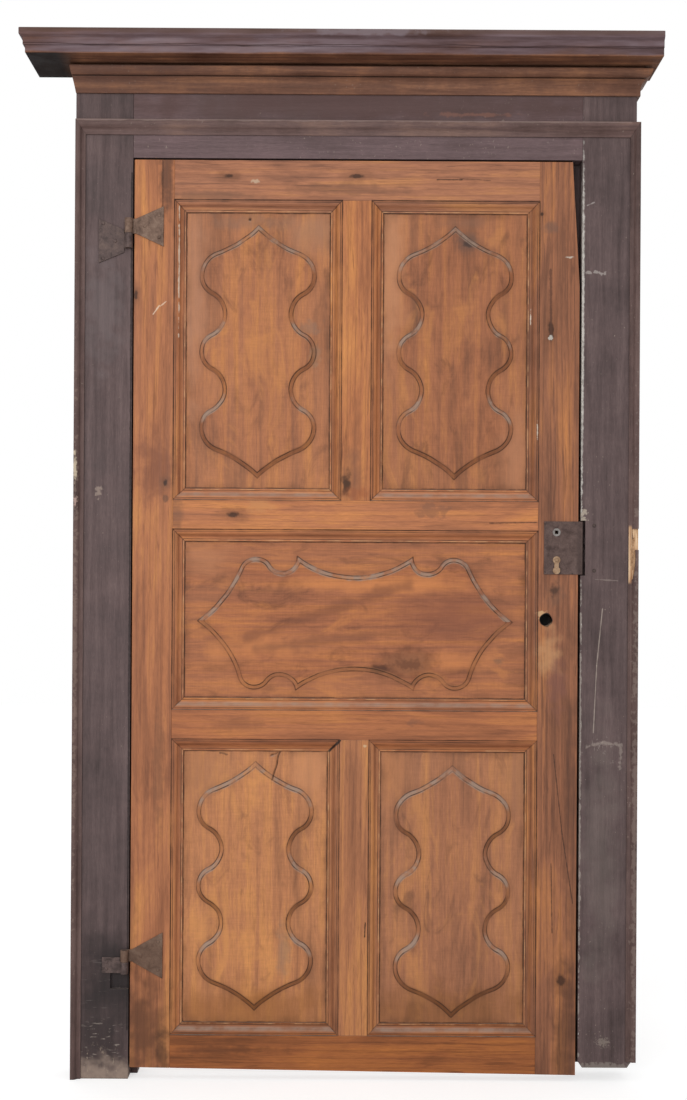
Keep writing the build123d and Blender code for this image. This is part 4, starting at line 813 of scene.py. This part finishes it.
def carve(node, outline, drop, seed, cracks=(), holes=()):
    """A panel's mesh, with its cartouche, cracks and holes and the values that its finish reads."""
    low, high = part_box(node)
    ground = low.y + panel_ground
    columns, rows = (int(round(size / grid_step)) + 1 for size in (high.x - low.x, high.z - low.z))
    zs = np.linspace(low.z, high.z, rows)
    xs, heights = (grid.ravel() for grid in np.meshgrid(np.linspace(low.x, high.x, columns), zs))
    points = np.c_[xs, heights]
    middle = np.array([(low.x + high.x) / 2, (low.z + high.z) / 2 - drop])
    inside = depth_inside(points - middle, outline) + 0.0011 * ripple(points, (0.04, 0.10), seed)
    rise = np.clip(inside / slope_width, 0, 1)
    rise = 0.65 * rise + 0.35 * rise * rise * (3 - 2 * rise)
    field = np.clip((inside - slope_width - quirk_width * 0.6) / (quirk_width * 0.9), 0, 1)
    height = rise * slope_rise + field * (panel_ground - slope_rise - 0.0003)
    height += 0.00022 * ripple(points, (0.02, 0.045, 0.09), seed + 1)
    height = np.clip(height, -0.0004, panel_ground)
    split = np.zeros(len(points))
    for start, end, width in cracks:
        run = np.array(end) - np.array(start)
        along = np.clip((points - start) @ run / (run @ run), 0, 1)
        sway = 0.0016 * np.sin(along * 9.0) * (1 - along)
        gap = np.hypot(xs - start[0] - along * run[0] + sway, heights - start[1] - along * run[1])
        split = np.maximum(split, np.exp(-((gap / width) ** 2)))
    for centre, radius in holes:
        gap = np.hypot(xs - centre[0], heights - centre[1])
        split = np.maximum(split, np.clip(1.6 - gap / radius, 0, 1))
    height -= 0.0022 * split
    sideways = np.minimum(xs - low.x, high.x - xs)
    upright = np.minimum(heights - low.z, high.z - heights)
    height[np.minimum(sideways, upright) < panel_tongue] = 0.0
    tilt = np.gradient(height.reshape(rows, columns), zs, axis=0)
    for axis in (0, 1):
        tilt = (np.roll(tilt, 1, axis) + 2 * tilt + np.roll(tilt, -1, axis)) / 4
    front = np.c_[xs, ground - height, heights]
    corner = np.arange(rows * columns).reshape(rows, columns)
    rim = np.concatenate([corner[0], corner[1:, -1], corner[-1, -2::-1], corner[-2:0:-1, 0]])
    back = np.c_[front[rim, 0], np.full(len(rim), high.y), front[rim, 2]]
    squares = np.stack([corner[:-1, :-1], corner[:-1, 1:], corner[1:, 1:], corner[1:, :-1]], -1)
    faces = squares.reshape(-1, 4).tolist()
    behind = rows * columns + np.arange(len(rim))
    faces += np.c_[np.roll(rim, -1), rim, behind, np.roll(behind, -1)].tolist()
    faces.append(behind[::-1].tolist())
    name = node.replace("_panel", "_carving")
    mesh = bpy.data.meshes.new(name)
    mesh.from_pydata(np.vstack([front, back]).tolist(), [], faces)
    mesh.update()
    up_slope = np.clip(-tilt.ravel() * 2.6, -1, 1)
    for label, values in (("up_slope", up_slope), ("inside", inside), ("split", split)):
        attribute = mesh.attributes.new(label, "FLOAT", "POINT")
        padded = np.full(len(front) + len(back), -0.1 if label == "inside" else 0.0, np.float32)
        padded[: len(values)] = values
        attribute.data.foreach_set("value", padded)
    mesh.shade_smooth()
    mesh.set_sharp_from_angle(angle=math.radians(60))
    return stand(name, mesh)


def reading(tree, label):
    """One of the carved mesh's own values."""
    return add(tree, "Attribute", attribute_name=label).outputs["Fac"]


def carved_lines(finish, under, down_slope_shading_share, lower=(66, 40, 26), upper=(166, 142, 126), pale=(204, 146, 104)):
    """Dust on the upward slopes, dark lines of painted shade along both edges of the slope, a tone of painted
    light and shade on the downward slopes, and a darker margin round the panel.
    """
    tree, place = finish.tree, finish.place
    slope = reading(tree, "up_slope")
    inside = reading(tree, "inside")
    uneven = between(cloud(place, 34.0), 0.32, 0.62, 0.3, 1.0)
    broken = between(cloud(place, 42.0, shift=6.0), 0.36, 0.62, 0.12, 0.9)
    tint(finish, between(inside, 0.001, -0.004, 0.0, 0.08), pale)
    tint(finish, times(between(slope, 0.1, 0.7), broken), upper)
    # Painted light and shade: the downward slopes take their own tone, darker by default and paler on the
    # middle panel.
    tint(finish, between(slope, -0.1, -0.8, 0.0, down_slope_shading_share), under)
    # Painted shade: dark lines in the quirk at the top of the slope and along its foot.
    edge_shade_lines = most(line(inside, slope_width + 0.0005, 0.0017, 0.95), line(inside, 0.0, 0.0017, 0.85))
    tint(finish, times(edge_shade_lines, uneven), lower)
    tint(finish, line(inside, 0.002, 0.015, 0.12), lower)
    tint(finish, reading(tree, "split"), (22, 14, 11))
    outside = sight_of(finish)[0]
    blotch = between(cloud(place, 16.0, shift=2.0), 0.4, 0.7, 0.1, 1.0)
    margin = times(between(outside, -0.020, 0.001, 0.0, 0.4), blotch)
    margin = most(margin, times(line(outside, 0.0, 0.0030, 0.85), uneven))
    tint(finish, margin, lower)


def panel_wood(node, along, tones, shift, lines=0.2, figure=0.14):
    """A board's quiet grain, with cloudy stains along it and faint scraper marks across it."""
    finish = bare_wood(node + "_wood", along, tones, shift, lines, figure)
    place = finish.place
    flow = (1.0, 1.0, 0.45) if along == "Z" else (0.45, 1.0, 1.0)
    stain = between(cloud(place, 19.0, flow, shift, 6.0, 0.62, 1.4), 0.52, 0.74, 0.0, 0.7)
    tint(finish, stain, tones[0])
    bright = between(cloud(place, 15.0, flow, shift + 4.0, 5.0, 0.6, 1.2), 0.54, 0.72, 0.0, 0.55)
    tint(finish, bright, tones[2])
    across = (0.1, 1.0, 1.0) if along == "Z" else (1.0, 1.0, 0.1)
    vary(finish, between(cloud(place, 330.0, across, shift, 3.0), 0.25, 0.75, 0.95, 1.05))
    return finish


def wash(finish, centre, half, colour):
    """A broad soft patch where a board is paler or dirtier."""
    mark(finish, centre, half, colour, 0.6, 0.6, 0.8, 22.0)


# under is the tone painted on the carving's downward slopes as their shade.
def fit_panel(panel, node, finish, *traces, under=(104, 64, 38), down_slope_shading_share=0.3):
    """A carved panel, with its wear, takes its node's place in the leaf."""
    wear(finish, *traces)
    carved_lines(finish, under, down_slope_shading_share)
    settle(finish, (52, 31, 21), (172, 146, 124), 0.45, 0.2)
    panel.data.materials.append(finish.material)
    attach(panel, "leaf")
    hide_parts(node)


def carve_tall(node, margin, drop, seed, **flaws):
    """A tall panel, with a margin above and below its cartouche's tips."""
    half_width, half_height = half_sight(node)
    return carve(node, tall_outline(half_width, half_height - margin), drop, seed, **flaws)


nail_hole = ((-0.218, 1.740), 0.0022)
upper_left = carve_tall("upper_left_panel", 0.0225, 0.0025, 11, holes=[nail_hole])
upper_left_wood = panel_wood("upper_left_panel", "Z", ((118, 75, 54), (172, 111, 76), (200, 133, 78)), 7.3)
fit_panel(
    upper_left, "upper_left_panel", upper_left_wood,
    (wash, (-335, 1600), (24, 180), (180, 130, 102)),
    (wash, (-80, 1720), (50, 40), (160, 118, 92)),
    (mark, (-95, 1520), (16, 12), (112, 100, 90), 0.4, 1.2, 0.6, 80.0),
    (mark, (-85, 1465), (10, 20), (150, 128, 106), 0.35, 1.2, 0.6, 80.0),
    (mark, (-220, 1735), (60, 16), (128, 96, 80), 0.5, 0.9, 0.7, 40.0),
)

upper_right = carve_tall("upper_right_panel", 0.0225, 0.0025, 12)
upper_right_wood = panel_wood("upper_right_panel", "Z", ((106, 67, 48), (162, 103, 71), (190, 126, 75)), 8.1)
fit_panel(
    upper_right, "upper_right_panel", upper_right_wood,
    (wash, (66, 1660), (26, 170), (200, 142, 104)),
    (wash, (330, 1260), (30, 90), (184, 126, 92)),
    (mark, (222, 1700), (18, 14), (104, 80, 70), 0.6, 1.0, 0.7, 50.0),
    (knot, (226, 1692), (11, 7), (96, 72, 62), (62, 48, 44)),
    (mark, (215, 1735), (40, 12), (122, 86, 70), 0.5, 0.9, 0.7, 40.0),
)

middle = carve("middle_panel", wide_outline(*half_sight("middle_panel")), 0.003, 13)
middle_wood = panel_wood("middle_panel", "X", ((105, 64, 46), (164, 102, 70), (198, 127, 74)), 9.4, 0.25, 0.2)
fit_panel(
    middle, "middle_panel", middle_wood,
    (wash, (-310, 1060), (50, 30), (180, 120, 84)),
    (wash, (200, 935), (110, 40), (134, 82, 62)),
    (mark, (60, 1000), (170, 14), (208, 134, 82), 0.6, 0.9, 0.95, 24.0),
    (mark, (-180, 875), (90, 20), (208, 134, 82), 0.6, 0.9, 0.95, 24.0),
    (mark, (215, 846), (50, 16), (208, 134, 82), 0.6, 0.9, 0.95, 24.0),
    (scratch, (-218, 893), (103, 1000), 10, (120, 74, 54), 0.55, 1.3, 0.95, 22.0),
    (scratch, (-200, 870), (80, 905), 8, (124, 78, 56), 0.5, 1.3, 0.95, 22.0),
    (mark, (102, 842), (56, 30), (104, 62, 42), 0.65, 0.5, 0.4, 50.0),
    (mark, (106, 842), (44, 22), (152, 100, 70), 0.6, 0.7, 0.5, 70.0),
    (mark, (110, 840), (24, 10), (94, 58, 42), 0.6, 0.9, 0.5, 80.0),
    (mark, (52, 830), (26, 8), (66, 42, 34), 0.75, 0.8, 0.6, 60.0),
    (mark, (292, 846), (8, 6), (104, 84, 70), 0.5, 1.0, 0.5, 80.0),
    # Painted light: the middle panel's downward slopes are made paler against their shade.
    under=(204, 146, 104),
    down_slope_shading_share=0.25,
)

split_top = (((-0.151, 0.661), (-0.166, 0.606), 0.0013), ((-0.151, 0.661), (-0.170, 0.654), 0.0010))
lower_left = carve_tall("lower_left_panel", 0.022, -0.001, 14, cracks=split_top)
lower_left_wood = panel_wood("lower_left_panel", "Z", ((134, 88, 62), (186, 124, 84), (215, 148, 87)), 10.2)
fit_panel(
    lower_left, "lower_left_panel", lower_left_wood,
    (wash, (-200, 135), (170, 45), (130, 78, 32)),
    (wash, (-320, 620), (50, 60), (160, 108, 76)),
    (wash, (-82, 620), (40, 60), (202, 140, 98)),
    (scratch, (-272, 659), (-258, 656), 2.2, (84, 58, 42), 0.7, 0.9),
    (mark, (-140, 260), (12, 50), (146, 118, 96), 0.5, 0.8, 0.7, 50.0),
    down_slope_shading_share=0.5,
)

lower_right = carve_tall("lower_right_panel", 0.019, 0.008, 15)
lower_right_wood = panel_wood("lower_right_panel", "Z", ((114, 76, 57), (166, 110, 79), (194, 132, 82)), 11.7)
fit_panel(
    lower_right, "lower_right_panel", lower_right_wood,
    (wash, (200, 135), (170, 45), (118, 72, 34)),
    (wash, (70, 620), (30, 60), (180, 120, 80)),
    (wash, (335, 610), (30, 60), (154, 106, 78)),
    down_slope_shading_share=0.5,
)

# Hinges: forged dovetail plates nailed on the leaf and on the post, with rolled eyes on a
# standing pin; wrought iron, rusted brown under thin old paint.


def rusty_iron(name, tones, shift, metal=0.35):
    """Forged iron under rust and paint: blotches, pits and a dull sheen."""
    finish = begin_finish(name)
    place = finish.place
    blotch = cloud(place, 60.0, (1, 1, 1), shift, 6.0, 0.65, 0.4)
    pit = cloud(place, 420.0, (1, 1, 1), shift, 4.0, 0.6)
    finish.colour = tone_scale(blotch, tones, 0.34, 0.66)
    vary(finish, between(pit, 0.3, 0.7, 0.84, 1.14))
    put(finish.shader["Metallic"], metal)
    put(finish.shader["Roughness"], between(blotch, 0.3, 0.7, 0.5, 0.75))
    roughen(finish, pit, blotch, 0.0016)
    return finish


def dress_iron(names, finish, dirt_and_shade, dust_and_top_light, width=0.0):
    """One iron finish on several CAD nodes."""
    settle(finish, dirt_and_shade, dust_and_top_light, 0.7, 0.3)
    for name in names:
        dress(name, finish, width)


leaf_iron = rusty_iron("leaf_hinge_iron", ((78, 59, 49), (116, 93, 80), (139, 116, 101)), 0.2, 0.2)
mark(leaf_iron, (-420, 235), (70, 70), (92, 68, 54), 0.55, 0.5, 0.6, 60.0)
leaf_plates = ("upper_hinge_leaf_plate", "lower_hinge_leaf_plate")
dress_iron(leaf_plates, leaf_iron, (36, 26, 22), (140, 124, 114), 0.0005)
dress("leaf_hinge_nails", leaf_iron)

post_iron = rusty_iron("post_hinge_iron", ((59, 48, 45), (91, 76, 73), (110, 93, 87)), 0.8, 0.2)
post_plates = ("upper_hinge_post_plate", "lower_hinge_post_plate")
dress_iron(post_plates, post_iron, (30, 23, 21), (130, 116, 110), 0.0005)
dress("post_hinge_nails", post_iron)

pin_iron = rusty_iron("hinge_pin_iron", ((56, 46, 43), (78, 66, 62), (100, 86, 80)), 1.4, 0.4)
dress_iron(("upper_hinge_pin", "lower_hinge_pin"), pin_iron, (28, 22, 20), (120, 108, 102))

# Lock: a rim lock half let into the lock stile, its sheet-iron plate painted dark and rubbed.
# A bare worn follower ring shows above, and a dull brass drop cover hangs over the keyhole.
lock_paint = rusty_iron("lock_plate_paint", ((67, 51, 47), (91, 73, 68), (104, 86, 81)), 2.0, 0.1)
mark(lock_paint, (452, 1070), (6, 50), (60, 48, 46), 0.5, 0.9, 0.7, 60.0)
dress_iron(("lock_case", "lock_cap"), lock_paint, (32, 24, 22), (130, 114, 106), 0.0004)

keep_paint = old_paint("keep_paint", "Z", post_tones, 0.6, 0.7)
dress_iron(("keep_plate",), keep_paint, (30, 23, 22), (130, 116, 110), 0.0004)

works_iron = rusty_iron("lock_works_iron", ((96, 88, 84), (126, 120, 116), (158, 154, 150)), 3.1, 0.7)
works = ("follower", "latch_bolt", "latch_spring", "dead_bolt", "bolt_back_spring")
dress_iron(works, works_iron, (36, 30, 28), (140, 130, 124))

nail_iron = rusty_iron("nail_iron", ((54, 44, 42), (78, 65, 62), (98, 86, 80)), 3.6, 0.4)
dress_iron(("keep_nails", "lock_nails"), nail_iron, (28, 22, 20), (120, 108, 102))

cover_brass = rusty_iron("keyhole_cover_brass", ((128, 100, 76), (158, 130, 104), (186, 158, 130)), 4.2, 0.4)
dress_iron(("keyhole_cover",), cover_brass, (62, 46, 32), (160, 140, 116), 0.0003)
dress("cover_rivet", cover_brass)

# Floor and light: a plain pale floor, a soft white surround and one large soft lamp above the
# viewer's left, so that ledges are lit from above as they are in a bright room.


def white_to_eye(tree):
    """One for what is seen, straight or in gloss or glass, and nought for the light on things."""
    seen = add(tree, "LightPath").outputs
    return most(seen["Is Camera Ray"], most(seen["Is Glossy Ray"], seen["Is Transmission Ray"]))


floor_mesh = bpy.data.meshes.new("floor")
floor_mesh.from_pydata([(-9, -6, 0), (9, -6, 0), (9, 12, 0), (-9, 12, 0)], [], [(0, 1, 2, 3)])
floor = stand("floor", floor_mesh)
floor_finish = begin_finish("pale_floor")
put(floor_finish.shader["Base Color"], between(cloud(floor_finish.place, 3.0), 0.2, 0.8, 0.56, 0.60))
put(floor_finish.shader["Roughness"], 0.9)
put(floor_finish.shader["Emission Color"], (1, 1, 1, 1))
put(floor_finish.shader["Emission Strength"], times(white_to_eye(floor_finish.tree), 0.60))
floor_mesh.materials.append(floor_finish.material)

world = bpy.data.worlds.new("soft_room")
bpy.context.scene.world = world
world.use_nodes = True
sky = world.node_tree
sky.nodes.clear()
room = add(sky, "Background", {"Color": (1, 1, 1, 1), "Strength": 0.72})
white = add(sky, "Background", {"Color": (1, 1, 1, 1), "Strength": 1.0})
both = add(sky, "MixShader", {0: white_to_eye(sky), 1: room.outputs[0], 2: white.outputs[0]})
add(sky, "OutputWorld", {"Surface": both.outputs[0]})

lamp_data = bpy.data.lights.new("soft_lamp", "AREA")
lamp_data.shape = "RECTANGLE"
lamp_data.size = 2.6
lamp_data.size_y = 1.8
lamp_data.energy = 90.0
lamp = stand("soft_lamp", lamp_data)
lamp.location = (-1.4, -4.6, 1.9)
lamp.rotation_euler = (math.radians(79.4), 0.0, math.radians(-16.9))

camera_data = bpy.data.cameras.new("camera")
camera_data.sensor_fit = "VERTICAL"
camera_data.sensor_height = 36.0
camera_data.lens = 56.7
camera_data.shift_y = 50 / 1100
camera = stand("camera", camera_data)
camera.location = (-0.0242, -3.58, 0.970)
camera.rotation_euler = (math.radians(90), math.radians(-0.34), 0.0)
bpy.context.scene.camera = camera
bpy.context.scene.view_settings.view_transform = "Standard"
